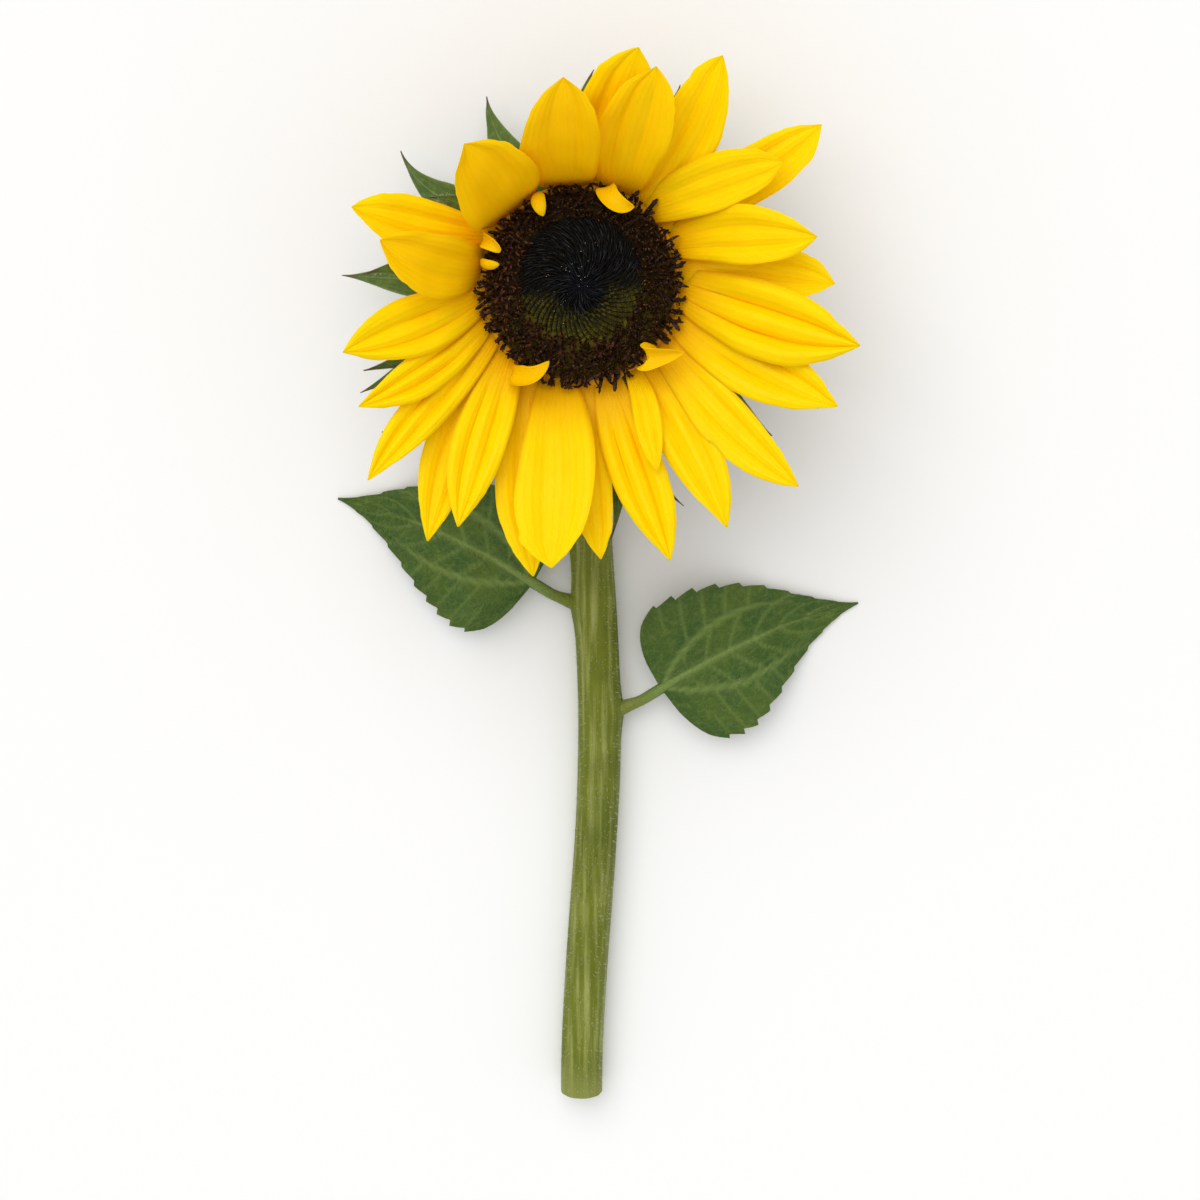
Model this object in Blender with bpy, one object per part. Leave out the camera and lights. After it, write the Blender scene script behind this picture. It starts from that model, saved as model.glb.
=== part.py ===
"""A cut sunflower laid on its back: the stem lies along the surface and the head looks up.

World axes: +Z up from the surface, +Y along the stem from its cut end to the head, +X to the right.
The head has a frame of its own: +Z out of its face, +Y away from the stem, its origin on the flat
top of the green cup. Azimuths in the tables are degrees in that frame, from +X towards +Y.
"""
import math
import random

import bmesh
import bpy
from mathutils import Matrix, Vector, geometry

MM = 0.001

# Clearances and blade thickness
GAP = 0.3 * MM
PETAL_THICKNESS = 0.7 * MM
BRACT_THICKNESS = 0.8 * MM
LEAF_THICKNESS = 0.8 * MM

# Stem
STEM_RADIUS = 7.2 * MM
NECK_TOP_RADIUS = 10.4 * MM
STEM_LENGTH = 262 * MM
STEM_BOW = 6.0 * MM
NECK_BEND_RADIUS = 23 * MM
NECK_STRAIGHT = 4 * MM

# Head
HEAD_TILT = math.radians(12)
HEAD_X = -6 * MM
HEAD_Y = 106.6 * MM
DISC_RADIUS = 29.2 * MM
DISC_FOOT_RADIUS = 28.3 * MM
CUP_RADIUS = 31 * MM
CUP_DEPTH = 19 * MM
CUP_SIDE = [(17 * MM, -17.2 * MM), (24 * MM, -13 * MM), (29 * MM, -7 * MM), (31 * MM, -2.5 * MM)]
RING_INNER_RADIUS = 22.5 * MM
RING_OUTER_RADIUS = 31 * MM
RING_HEIGHT = 2.4 * MM
PETAL_ROOT_RADIUS = 30.2 * MM
PETAL_ROOT_SINK = 2.0 * MM
PETAL_ROOT_HEIGHT = 0.7 * MM
PETAL_HOLLOW = 0.22
PETAL_PLEAT = 0.06
INNER_BRACT_ROOT = (25 * MM, -5 * MM)
MIDDLE_BRACT_ROOT = (22 * MM, -8.5 * MM)
OUTER_BRACT_ROOT = (17 * MM, -12 * MM)
BRACT_HOLLOW = 0.12
SEGMENTS_ROUND = 48

# Disc: a shallow dish of buds inside a ring of open florets
DISH_CENTRE_HEIGHT = 6.2 * MM
DISH_RISE = 2.2 * MM
DISH_RIM_DROP = 3.2 * MM
FLORET_COUNT = 300
OPEN_RING_RADIUS = 18.5 * MM
BUD_HEIGHT = 1.3 * MM
OPEN_FLORET_HEIGHT = 4.2 * MM
GOLDEN_ANGLE = math.pi * (3 - math.sqrt(5))

# Each ray petal: azimuth of its root and of its tip in degrees, reach of its tip from the head's
# axis and full width in mm, lift at the root and at the tip in degrees, sideways bow in mm.
PETALS = [
    (97, 94.6, 61, 24, 80, 26, 2),
    (84, 76, 72, 21, 50, 30, 1),
    (66, 70.6, 68, 22, 64, 24, 1.5),
    (53, 58, 80, 18, 38, 22, -3),
    (38, 33.4, 87, 16.5, 24, 12, -2),
    (50, 31, 71, 16.5, 46, 18, 1),
    (25, 11.4, 72, 18, 48, 24, 2),
    (12, 0.2, 77, 17, 24, 14, 1),
    (0, -12.3, 86, 23, 34, 14, -2),
    (-15, -25.3, 86, 19, 26, 12, -2),
    (-35, -42.7, 90, 15.5, 24, 10, -2.5),
    (-50, -58.8, 86, 16, 24, 10, 1),
    (-58, -67.4, 61, 8, 40, 14, 1),
    (-73, -71.9, 88, 16.5, 22, 8, -1),
    (-86, -85.8, 84, 14, 12, 8, -2),
    (-107, -96, 86, 24, 34, 8, 1),
    (-124, -99.3, 90, 18, 14, 8, -2),
    (-138, -117, 82, 16, 30, 10, -1),
    (-150, -121, 91, 16, 12, 8, -2.5),
    (-155, -137.6, 87, 13, 26, 16, 0),
    (-162, -151.4, 76, 13, 34, 20, 3),
    (-177, -164.3, 74, 18, 38, 22, 1.5),
    (170, 167.4, 61, 19, 70, 26, 3),
    (149, 161.2, 72, 17, 42, 26, 2),
    (132, 129.5, 54, 26, 82, 30, 0),
]

# Short inner rays that curl over the disc's rim: four points of the middle line in mm in the head's
# frame, the way across the blade, its width in mm, and how deep its trough is.
CURLED_RAYS = [
    ([(12.2, 27.7, 1.5), (5.5, 34.5, 13), (6.5, 23, 18), (16.5, 23.5, 14)], (0.9, 0.35, -0.1), 6.2, 0.5),
    ([(-12.7, 27.4, 1.5), (-13.8, 29.2, 11), (-13.2, 25.5, 16.5), (-11.2, 20.8, 14.5)], (0.9, 0.45, 0), 4.4, -0.5),
    ([(-29.4, 7.1, 1.5), (-32, 6.8, 9), (-28.5, 5.4, 15.5), (-24.6, 6.2, 14.2)], (-0.2, 0.9, 0.3), 3.2, -0.5),
    ([(-28.1, 11, 1.5), (-32.5, 15, 12), (-27, 14, 17), (-24.4, 9.8, 14.8)], (0.3, 0.9, 0.5), 4.6, 0.6),
    ([(-19.1, -23.4, 1.5), (-24, -27, 11), (-14, -32.5, 16), (-9.5, -23, 15.5)], (0.1, 0.9, -0.5), 6.5, 0.8),
    ([(22.3, -20.4, 1.5), (27, -20.5, 12), (8, -24, 16.5), (31.5, -20.5, 14)], (0.15, 0.9, 0.35), 8.0, 0.7),
]

# Green bracts: azimuth, length and width in mm, lift at the root and at the tip in degrees.
INNER_BRACTS = [
    (0, 44, 16, 2, -4), (34, 32, 14, 12, 18), (62, 36, 15, 8, 10), (88, 26, 15, 22, 26),
    (118, 14, 14, 24, 36), (146, 24, 15, 16, 20), (174, 36, 15, 4, -4), (203, 41, 14, 2, 8),
    (232, 40, 15, 0, -8), (262, 42, 14, 0, -4), (281, 48, 14, 0, 4), (318, 44, 15, 0, -6),
]
OUTER_BRACTS = [
    (16, 56, 18, -4, -78), (48, 52, 19, -8, -72), (76, 50, 18, -10, -62), (104, 46, 19, -12, -72),
    (133, 48, 18, -12, -80), (162, 56, 19, -6, -78), (191, 58, 18, -4, -76), (220, 54, 18, -4, -42),
    (250, 46, 16, -2, -16), (290, 46, 16, -2, -14), (322, 54, 18, -4, -44), (350, 58, 19, -4, -78),
]

MIDDLE_BRACTS = [
    (2, 48, 16, -4, -38), (33, 44, 16, -6, -40), (62, 42, 15, -6, -32), (90, 38, 15, -4, -28),
    (119, 40, 15, -6, -44), (148, 44, 16, -6, -40), (178, 50, 16, -2, -44), (206, 48, 15, -2, -26),
    (235, 44, 15, 0, -22), (270, 44, 15, 2, -12), (305, 46, 15, 0, -24), (336, 50, 16, -4, -30),
]

# Leaves: side of the stem, share of the stem's length at the leaf's root, blade length and width.
LEAVES = {
    "leaf_left": (-1, 0.66, 78 * MM, 50 * MM),
    "leaf_right": (1, 0.52, 80 * MM, 52 * MM),
}
PETIOLE_LENGTH = 20 * MM
PETIOLE_WIDTH = 3.6 * MM
LEAF_ROWS = 16


def clear_scene():
    """Removes what the startup file holds."""
    for thing in list(bpy.data.objects):
        bpy.data.objects.remove(thing)


def material(name, colour, roughness):
    """A plain Principled material in the real piece's colour."""
    made = bpy.data.materials.new(name)
    made.use_nodes = True
    shader = made.node_tree.nodes["Principled BSDF"]
    shader.inputs["Base Color"].default_value = (*colour, 1)
    shader.inputs["Roughness"].default_value = roughness
    shader.inputs["Metallic"].default_value = 0
    made.diffuse_color = (*colour, 1)
    return made


def object_from(name, mesh_builder, finish):
    """Turns a bmesh into a smooth-shaded object in the scene."""
    mesh = bpy.data.meshes.new(name)
    mesh_builder.to_mesh(mesh)
    mesh_builder.free()
    mesh.materials.append(finish)
    mesh.shade_smooth()
    mesh.set_sharp_from_angle(angle=math.radians(50))
    made = bpy.data.objects.new(name, mesh)
    bpy.context.scene.collection.objects.link(made)
    return made


def fuse(body, repeats):
    """Joins the repeats to the body they grow from, as one closed solid."""
    held = bpy.data.collections.new(body.name + "_repeats")
    bpy.context.scene.collection.children.link(held)
    for piece in repeats:
        bpy.context.scene.collection.objects.unlink(piece)
        held.objects.link(piece)
    union = body.modifiers.new("Join", "BOOLEAN")
    union.operation = "UNION"
    union.operand_type = "COLLECTION"
    union.collection = held
    union.solver = "EXACT"
    bpy.context.view_layer.objects.active = body
    bpy.ops.object.modifier_apply(modifier=union.name)
    for piece in repeats:
        bpy.data.objects.remove(piece)
    bpy.data.collections.remove(held)


def turned(profile, segments):
    """A solid of revolution about Z from (radius, height) points that start and end on the axis."""
    builder = bmesh.new()
    points = [builder.verts.new((radius, 0, height)) for radius, height in profile]
    edges = [builder.edges.new(pair) for pair in zip(points, points[1:])]
    bmesh.ops.spin(
        builder, geom=points + edges, axis=(0, 0, 1), cent=(0, 0, 0),
        angle=2 * math.pi, steps=segments, use_merge=True,
    )
    bmesh.ops.remove_doubles(builder, verts=builder.verts, dist=0.01 * MM)
    bmesh.ops.recalc_face_normals(builder, faces=builder.faces)
    return builder


def arc_centreline(length, start_lift, end_lift, share):
    """(distance outwards, height) after a share of a blade whose lift turns evenly from root to tip."""
    turn = end_lift - start_lift
    if abs(turn) < 1e-4:
        return length * share * math.cos(start_lift), length * share * math.sin(start_lift)
    radius = length / turn
    lift = start_lift + turn * share
    return radius * (math.sin(lift) - math.sin(start_lift)), radius * (math.cos(start_lift) - math.cos(lift))


def arc_reach(start_lift, end_lift):
    """How far out a blade of length 1 reaches."""
    return arc_centreline(1.0, start_lift, end_lift, 1.0)[0]


def polar(radius, azimuth):
    """A point of the head's flat plane, azimuth in degrees."""
    return Vector((radius * math.cos(math.radians(azimuth)), radius * math.sin(math.radians(azimuth)), 0))


def smooth_step(low, high, value):
    """0 below low, 1 above high, and a soft rise between them."""
    share = min(1.0, max(0.0, (value - low) / (high - low)))
    return share * share * (3 - 2 * share)


def petal_half_width(share, width, root_lift):
    """Half the width of a ray petal: its claw, a full blade and a pointed tip.

    The steep petals are broad right from the root.
    """
    power = 0.6 - 0.16 * smooth_step(46, 78, root_lift)
    widest = (power / (power + 3)) ** (power / 3) * 3 / (power + 3)
    full = share ** power * (1 - share ** 3) / widest
    claw = 0.7 * MM + 0.10 * width
    return 0.5 * width * full + claw * (1 - share) ** 4 + 0.2 * MM


def bract_half_width(share, width):
    """Half the width of a bract: broad and egg-shaped near its root, then a long thin tip."""
    blade = (share + 0.10) ** 0.45 * (1 - share) ** 1.5
    return 0.5 * width * blade / 0.385 + 0.35 * MM


def blade(name, finish, rows, columns, thickness, place):
    """A thin closed blade. place(share along, -1 to 1 across) gives each point of its middle surface."""
    builder = bmesh.new()
    bmesh.ops.create_grid(builder, x_segments=rows, y_segments=columns, size=1)
    for vert in builder.verts:
        vert.co = place((vert.co.x + 1) / 2, vert.co.y)
    bmesh.ops.triangulate(builder, faces=builder.faces)
    made = object_from(name, builder, finish)
    walls = made.modifiers.new("Thickness", "SOLIDIFY")
    walls.thickness = thickness
    walls.offset = 0
    return made


def head_matrix():
    """Places the head's own frame above the surface, carried by the bend of the neck."""
    bend = math.pi / 2 - HEAD_TILT
    axis = Vector((0, math.sin(HEAD_TILT), math.cos(HEAD_TILT)))
    neck_top = Vector((HEAD_X, 0, STEM_RADIUS + NECK_BEND_RADIUS * (1 - math.cos(bend))))
    centre = neck_top + axis * (NECK_STRAIGHT + GAP + CUP_DEPTH)
    centre.y = HEAD_Y
    return Matrix.Translation(centre) @ Matrix.Rotation(-HEAD_TILT, 4, "X")


def above_surface(point, matrix, thickness):
    """A point of the head's frame, lifted where it would sink into the surface the flower lies on."""
    world = matrix @ point
    world.z = max(world.z, thickness / 2)
    return matrix.inverted() @ world


def neck_bend_start():
    """Where the lying stretch of the stem ends and the neck begins to rise."""
    matrix = head_matrix()
    axis = matrix.to_3x3() @ Vector((0, 0, 1))
    bend_end = matrix @ Vector((0, 0, -CUP_DEPTH - GAP)) - axis * NECK_STRAIGHT
    bend = math.pi / 2 - HEAD_TILT
    return bend_end - NECK_BEND_RADIUS * Vector((0, math.sin(bend), 1 - math.cos(bend)))


def stem_centre(share):
    """Centre line of the lying stretch, from the cut end (0) to the start of the neck (1)."""
    bow = STEM_BOW * math.sin(math.pi * share) ** 2
    return neck_bend_start() + Vector((bow, -STEM_LENGTH * (1 - share), 0))


def make_stem(finish):
    """The stem from its cut end along the surface, round the bend of the neck and up to the cup."""
    bend = math.pi / 2 - HEAD_TILT
    lying_steps, bend_steps, flare_steps = 16, 8, 3
    line = [(stem_centre(step / lying_steps), STEM_RADIUS) for step in range(lying_steps)]
    for step in range(bend_steps):
        angle = bend * step / bend_steps
        offset = NECK_BEND_RADIUS * Vector((0, math.sin(angle), 1 - math.cos(angle)))
        line.append((neck_bend_start() + offset, STEM_RADIUS))
    top = head_matrix() @ Vector((0, 0, -CUP_DEPTH - GAP))
    axis = head_matrix().to_3x3() @ Vector((0, 0, 1))
    for step in range(flare_steps + 1):
        share = step / flare_steps
        radius = STEM_RADIUS + (NECK_TOP_RADIUS - STEM_RADIUS) * share ** 2
        line.append((top - axis * NECK_STRAIGHT * (1 - share), radius))
    curve = bpy.data.curves.new("stem", "CURVE")
    curve.dimensions = "3D"
    curve.bevel_depth = STEM_RADIUS
    curve.bevel_resolution = 4
    curve.use_fill_caps = True
    curve.materials.append(finish)
    path = curve.splines.new("POLY")
    path.points.add(len(line) - 1)
    for point, (place, radius) in zip(path.points, line):
        point.co = (*place, 1)
        point.radius = radius / STEM_RADIUS
    made = bpy.data.objects.new("stem", curve)
    bpy.context.scene.collection.objects.link(made)
    return made


def make_bract_cup(finish, matrix):
    """The green cup under the head, with its three rows of bracts; the outer row hangs to the surface."""
    foot = [(0, -CUP_DEPTH), (NECK_TOP_RADIUS, -CUP_DEPTH)]
    profile = foot + CUP_SIDE + [(CUP_RADIUS - 0.6 * MM, -GAP), (0, -GAP)]
    cup = object_from("bract_cup", turned(profile, SEGMENTS_ROUND), finish)
    cup.matrix_world = matrix
    bracts = [bract(finish, matrix, INNER_BRACT_ROOT, *row) for row in INNER_BRACTS]
    bracts += [bract(finish, matrix, MIDDLE_BRACT_ROOT, *row) for row in MIDDLE_BRACTS]
    bracts += [bract(finish, matrix, OUTER_BRACT_ROOT, *row) for row in OUTER_BRACTS]
    fuse(cup, bracts)
    return cup


def bract(finish, matrix, root, azimuth, length, width, root_lift, tip_lift):
    """One bract, rooted inside the cup. Where it would pass the surface, it lies along it."""
    root_radius, root_height = root
    turn = Matrix.Rotation(math.radians(azimuth), 4, "Z")
    reach = length * MM + CUP_RADIUS - root_radius
    start, end = math.radians(root_lift), math.radians(tip_lift)

    def place(share, across):
        out, up = arc_centreline(reach, start, end, share)
        half = bract_half_width(share, width * MM)
        up += BRACT_HOLLOW * half * across ** 2
        point = turn @ Vector((root_radius + out, half * across, root_height + up))
        return above_surface(point, matrix, BRACT_THICKNESS)

    made = blade("bract", finish, 7, 2, BRACT_THICKNESS, place)
    made.matrix_world = matrix
    return made


def make_ray_petals(finish, matrix):
    """The yellow ring that the ray petals grow from, with all of them."""
    profile = [
        (RING_INNER_RADIUS, 0), (RING_OUTER_RADIUS, 0), (RING_OUTER_RADIUS, RING_HEIGHT),
        (RING_INNER_RADIUS, RING_HEIGHT), (RING_INNER_RADIUS, 0),
    ]
    ring = object_from("ray_petals", turned(profile, SEGMENTS_ROUND), finish)
    ring.matrix_world = matrix
    petals = [petal(finish, matrix, *row) for row in PETALS]
    petals += [curled_ray(finish, matrix, *row) for row in CURLED_RAYS]
    fuse(ring, petals)
    return ring


def petal_surface(root_azimuth, tip_azimuth, reach, width, root_lift, tip_lift, bow):
    """The middle surface of a ray petal, as a function of the shares along and across it.

    It leaves the ring at its lift, arches over to its tip, is hollowed along its length and
    folded in two soft pleats.
    """
    start, end = math.radians(root_lift), math.radians(tip_lift)
    root = polar(PETAL_ROOT_RADIUS - PETAL_ROOT_SINK * math.cos(start) ** 2, root_azimuth)
    way = polar(reach * MM, tip_azimuth) - root
    heading = way.normalized()
    side = Vector((-heading.y, heading.x, 0))
    length = way.length / arc_reach(start, end)
    hollow = PETAL_HOLLOW * (1 + 0.5 * smooth_step(40, 80, root_lift))

    def point(share, across):
        out, up = arc_centreline(length, start, end, share)
        lift = start + (end - start) * share
        half = petal_half_width(share, width * MM, root_lift)
        blade_share = smooth_step(0.1, 0.45, share)
        section = hollow * across ** 2 + PETAL_PLEAT * math.cos(3 * math.pi * across)
        rise = half * blade_share * section
        out -= rise * math.sin(lift)
        up += rise * math.cos(lift)
        sideways = half * across + 4 * bow * MM * share * (1 - share)
        return root + heading * out + side * sideways + Vector((0, 0, PETAL_ROOT_HEIGHT + up))

    return point


def petal(finish, matrix, *row):
    """One ray petal as a thin blade."""
    made = blade("petal", finish, 8, 4, PETAL_THICKNESS, petal_surface(*row))
    made.matrix_world = matrix
    return made


def curled_ray(finish, matrix, points, beside, width, trough):
    """One stunted ray petal: a trough that rises from the ring and curls over the disc's rim."""
    corners = [Vector(point) * MM for point in points]
    weights = (1, 3, 3, 1)

    def line(share):
        parts = zip(weights, corners, range(4))
        return sum((w * corner * share ** k * (1 - share) ** (3 - k) for w, corner, k in parts), Vector())

    def place(share, across):
        tangent = (line(share + 0.01) - line(share - 0.01)).normalized()
        over = tangent.cross(Vector(beside)).normalized()
        flat = over.cross(tangent)
        half = 0.5 * width * MM * (0.3 + 0.7 * smooth_step(0.05, 0.5, share)) * (1 - 0.7 * share ** 5)
        rise = trough * half * (across ** 2 - 0.4) * smooth_step(0.1, 0.5, share)
        return line(share) + flat * half * across + over * rise

    made = blade("curled_ray", finish, 8, 4, PETAL_THICKNESS, place)
    made.matrix_world = matrix
    return made


def dish_height(radius):
    """Height of the disc's surface under its florets: a shallow dish with a rounded rim."""
    share = radius / DISC_RADIUS
    rise = DISH_RISE * smooth_step(0.1, 0.75, share)
    return DISH_CENTRE_HEIGHT + rise - DISH_RIM_DROP * smooth_step(0.86, 1.0, share)


def floret_places():
    """The florets' places on the disc, in the golden spiral."""
    reach = DISC_RADIUS - 1.0 * MM
    radii = [reach * math.sqrt((n + 0.5) / FLORET_COUNT) for n in range(FLORET_COUNT)]
    return [
        Vector((radius * math.cos(n * GOLDEN_ANGLE), radius * math.sin(n * GOLDEN_ANGLE)))
        for n, radius in enumerate(radii)
    ]


def floret_height(radius):
    """How far a floret's tip stands out: low buds inside a ring of open florets."""
    opened = smooth_step(OPEN_RING_RADIUS - 2 * MM, OPEN_RING_RADIUS, radius)
    return BUD_HEIGHT + (OPEN_FLORET_HEIGHT - BUD_HEIGHT) * opened


def make_disc(finish, matrix):
    """The dark disc, one peak for each floret with a fold between each pair of neighbours."""
    draw = random.Random(11)
    steps = [2 * math.pi * k / SEGMENTS_ROUND for k in range(SEGMENTS_ROUND)]
    rim = [Vector((DISC_RADIUS * math.cos(a), DISC_RADIUS * math.sin(a))) for a in steps]
    florets = floret_places()
    first = len(florets)
    rim_edges = [(first + k, first + (k + 1) % SEGMENTS_ROUND) for k in range(SEGMENTS_ROUND)]
    net = geometry.delaunay_2d_cdt(florets + rim, rim_edges, [], 1, 1e-9)
    builder = bmesh.new()
    verts = [builder.verts.new((place.x, place.y, 0)) for place in net[0]]
    for corners in net[2]:
        builder.faces.new([verts[i] for i in corners])
    tips = {tuple(vert.co.xy) for vert in verts if vert.co.xy.length < DISC_RADIUS - MM}
    folds = [edge for edge in builder.edges if not edge.is_boundary]
    bmesh.ops.subdivide_edges(builder, edges=folds, cuts=1, use_grid_fill=True)
    bmesh.ops.triangulate(builder, faces=builder.faces)
    for vert in builder.verts:
        radius = vert.co.xy.length
        vert.co.z = dish_height(radius)
        if tuple(vert.co.xy) in tips:
            vert.co.z += floret_height(radius) * draw.uniform(0.85, 1.15)
    add_disc_underside(builder)
    disc = object_from("disc_florets", builder, finish)
    disc.matrix_world = matrix
    return disc


def add_disc_underside(builder):
    """Closes the disc below: a flange over the petal ring and a hub down to the cup."""
    flange = RING_HEIGHT + GAP
    hub_radius = RING_INNER_RADIUS - GAP
    steps = [(DISC_FOOT_RADIUS, flange), (hub_radius, flange), (hub_radius, 0)]
    loop = [edge for edge in builder.edges if edge.is_boundary]
    for radius, height in steps:
        grown = bmesh.ops.extrude_edge_only(builder, edges=loop)["geom"]
        verts = [item for item in grown if isinstance(item, bmesh.types.BMVert)]
        loop = [item for item in grown if isinstance(item, bmesh.types.BMEdge)]
        for vert in verts:
            vert.co.xy = vert.co.xy.normalized() * radius
            vert.co.z = height
    bmesh.ops.edgeloop_fill(builder, edges=loop)
    bmesh.ops.recalc_face_normals(builder, faces=builder.faces)


def leaf_half_width(blade_share, width):
    """Half the width of a leaf: its stalk, then a broad egg-shaped blade with a drawn-out tip."""
    if blade_share <= 0:
        return PETIOLE_WIDTH / 2
    blade_share = min(1.0, blade_share)
    full = math.sin(math.pi * blade_share ** 0.56) ** (0.8 + 0.5 * blade_share) * (1 - 0.25 * blade_share)
    return PETIOLE_WIDTH / 2 * (1 - blade_share) + 0.5 * width * full / 0.93 + 0.3 * MM * blade_share


def leaf_surface(side, root_share, length, width):
    """The middle surface of a leaf, as a function of the shares along and across it.

    The stalk leaves the stem's flank, slants towards the head and arches out; the blade's sides are
    lifted and waved, and its tip comes down onto the surface.
    """
    root = stem_centre(root_share) + Vector((side * (STEM_RADIUS + GAP), 0, 0))
    whole = PETIOLE_LENGTH + length
    blade_from = PETIOLE_LENGTH / whole

    def point(share, across):
        blade_share = (share - blade_from) / (1 - blade_from)
        in_blade = smooth_step(0, 0.3, blade_share)
        half = leaf_half_width(blade_share, width)
        if blade_share > 0:
            half *= 1 - 0.05 * (round(share * LEAF_ROWS) % 2) * abs(across)
        out = whole * (0.62 * share + 0.16 * share ** 2)
        forward = whole * (0.50 * share - 0.14 * share ** 2)
        slant = (0.50 - 0.28 * share) * smooth_step(0, 0.1, share)
        slope = Vector((0.62 + 0.32 * share, slant)).normalized()
        rise = STEM_RADIUS * (1 - share) ** 1.5 + 9 * MM * math.sin(math.pi * share) * (1 - share)
        rise += in_blade * abs(across) * 6 * MM * (1 - share)
        rise += in_blade * across ** 2 * 2.2 * MM * math.sin(12 * share + (1.6 if across > 0 else 0) + side)
        place = root + Vector((side * out, forward, 0))
        place += Vector((-side * slope.y, slope.x, 0)) * half * across
        place.z = max(rise, LEAF_THICKNESS / 2)
        return place

    return point


def make_leaf(name, finish, *row):
    """One leaf as a thin blade, with its stalk."""
    return blade(name, finish, LEAF_ROWS, 4, LEAF_THICKNESS, leaf_surface(*row))


def build():
    """Every piece of the flower, each its own object."""
    clear_scene()
    stem_green = material("stem_green", (0.23, 0.34, 0.08), 0.6)
    leaf_green = material("leaf_green", (0.10, 0.24, 0.04), 0.6)
    bract_green = material("bract_green", (0.14, 0.28, 0.05), 0.6)
    petal_yellow = material("petal_yellow", (1.0, 0.62, 0.01), 0.5)
    disc_brown = material("disc_brown", (0.035, 0.018, 0.010), 0.75)
    matrix = head_matrix()
    make_stem(stem_green)
    make_bract_cup(bract_green, matrix)
    make_ray_petals(petal_yellow, matrix)
    make_disc(disc_brown, matrix)
    for name, row in LEAVES.items():
        make_leaf(name, leaf_green, *row)


build()
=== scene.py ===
"""The looks of a cut sunflower that lies on its back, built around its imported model.

World axes: +Z up from the surface, +Y along the stem from its cut end to the head, +X to the right.
The head has a frame of its own: +Z out of its face, +Y away from the stem, its origin on the flat
top of the green cup. Azimuths in the tables are degrees in that frame, from +X towards +Y.
"""

import math
import random

import bmesh
import bpy
import numpy
from bpy.props import (
    FloatProperty, FloatVectorProperty, IntProperty, PointerProperty,
)
from mathutils import Matrix, Vector, noise
from mathutils.bvhtree import BVHTree


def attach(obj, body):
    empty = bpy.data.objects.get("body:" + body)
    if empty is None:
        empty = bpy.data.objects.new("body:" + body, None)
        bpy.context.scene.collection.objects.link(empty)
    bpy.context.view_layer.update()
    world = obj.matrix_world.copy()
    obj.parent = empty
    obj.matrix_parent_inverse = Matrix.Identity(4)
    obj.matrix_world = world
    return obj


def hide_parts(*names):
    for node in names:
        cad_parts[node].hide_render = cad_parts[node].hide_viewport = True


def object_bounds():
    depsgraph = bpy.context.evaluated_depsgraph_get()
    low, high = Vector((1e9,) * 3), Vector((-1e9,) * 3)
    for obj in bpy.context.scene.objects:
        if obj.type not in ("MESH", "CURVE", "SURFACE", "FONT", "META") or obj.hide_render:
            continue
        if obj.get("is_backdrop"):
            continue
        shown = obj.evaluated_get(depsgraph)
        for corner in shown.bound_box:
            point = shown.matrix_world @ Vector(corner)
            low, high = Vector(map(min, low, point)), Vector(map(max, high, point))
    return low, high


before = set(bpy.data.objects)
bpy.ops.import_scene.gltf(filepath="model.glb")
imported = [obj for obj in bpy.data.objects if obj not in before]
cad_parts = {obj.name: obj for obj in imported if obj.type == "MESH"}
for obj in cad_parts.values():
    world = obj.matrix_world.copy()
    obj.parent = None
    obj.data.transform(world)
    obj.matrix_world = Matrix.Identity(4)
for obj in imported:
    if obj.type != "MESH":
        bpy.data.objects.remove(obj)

bl_info = {
    "name": "Cut Sunflower",
    "version": (1, 0, 0),
    "blender": (4, 5, 0),
    "location": "3D View > Sidebar > Sunflower",
    "description": "Models a cut sunflower on its packed frame",
    "category": "Add Mesh",
}

MM = 0.001
UP = Vector((0, 0, 1))
GOLDEN_ANGLE = math.pi * (3 - math.sqrt(5))
# Spiral rows of the florets along which the dark scales line up
SPIRAL_ARMS = 55
# A turn by any angle, in radians
ANY_TURN = (0, 6.28)

# Seeds of the random draws; another number gives another flower of the same kind
SEEDS = {"stem_hairs": 5, "bracts": 21, "petals": 8, "closed": 31, "open": 44, "pollen": 3}

# How finely the pieces are divided: steps along and round a tube, rows and columns of a blade
STEM_STEPS, NECK_STEPS, FLARE_STEPS, STEM_SIDES = 130, 26, 8, 64
STALK_STEPS, STALK_SIDES = 59, 14
RING_SEGMENTS, DISC_SEGMENTS, DISC_RINGS = 72, 96, 26
PETAL_GRID, CURLED_RAY_GRID = (44, 30), (26, 12)
BRACT_GRID, LEAF_GRID = (30, 12), (150, 34)

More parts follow.
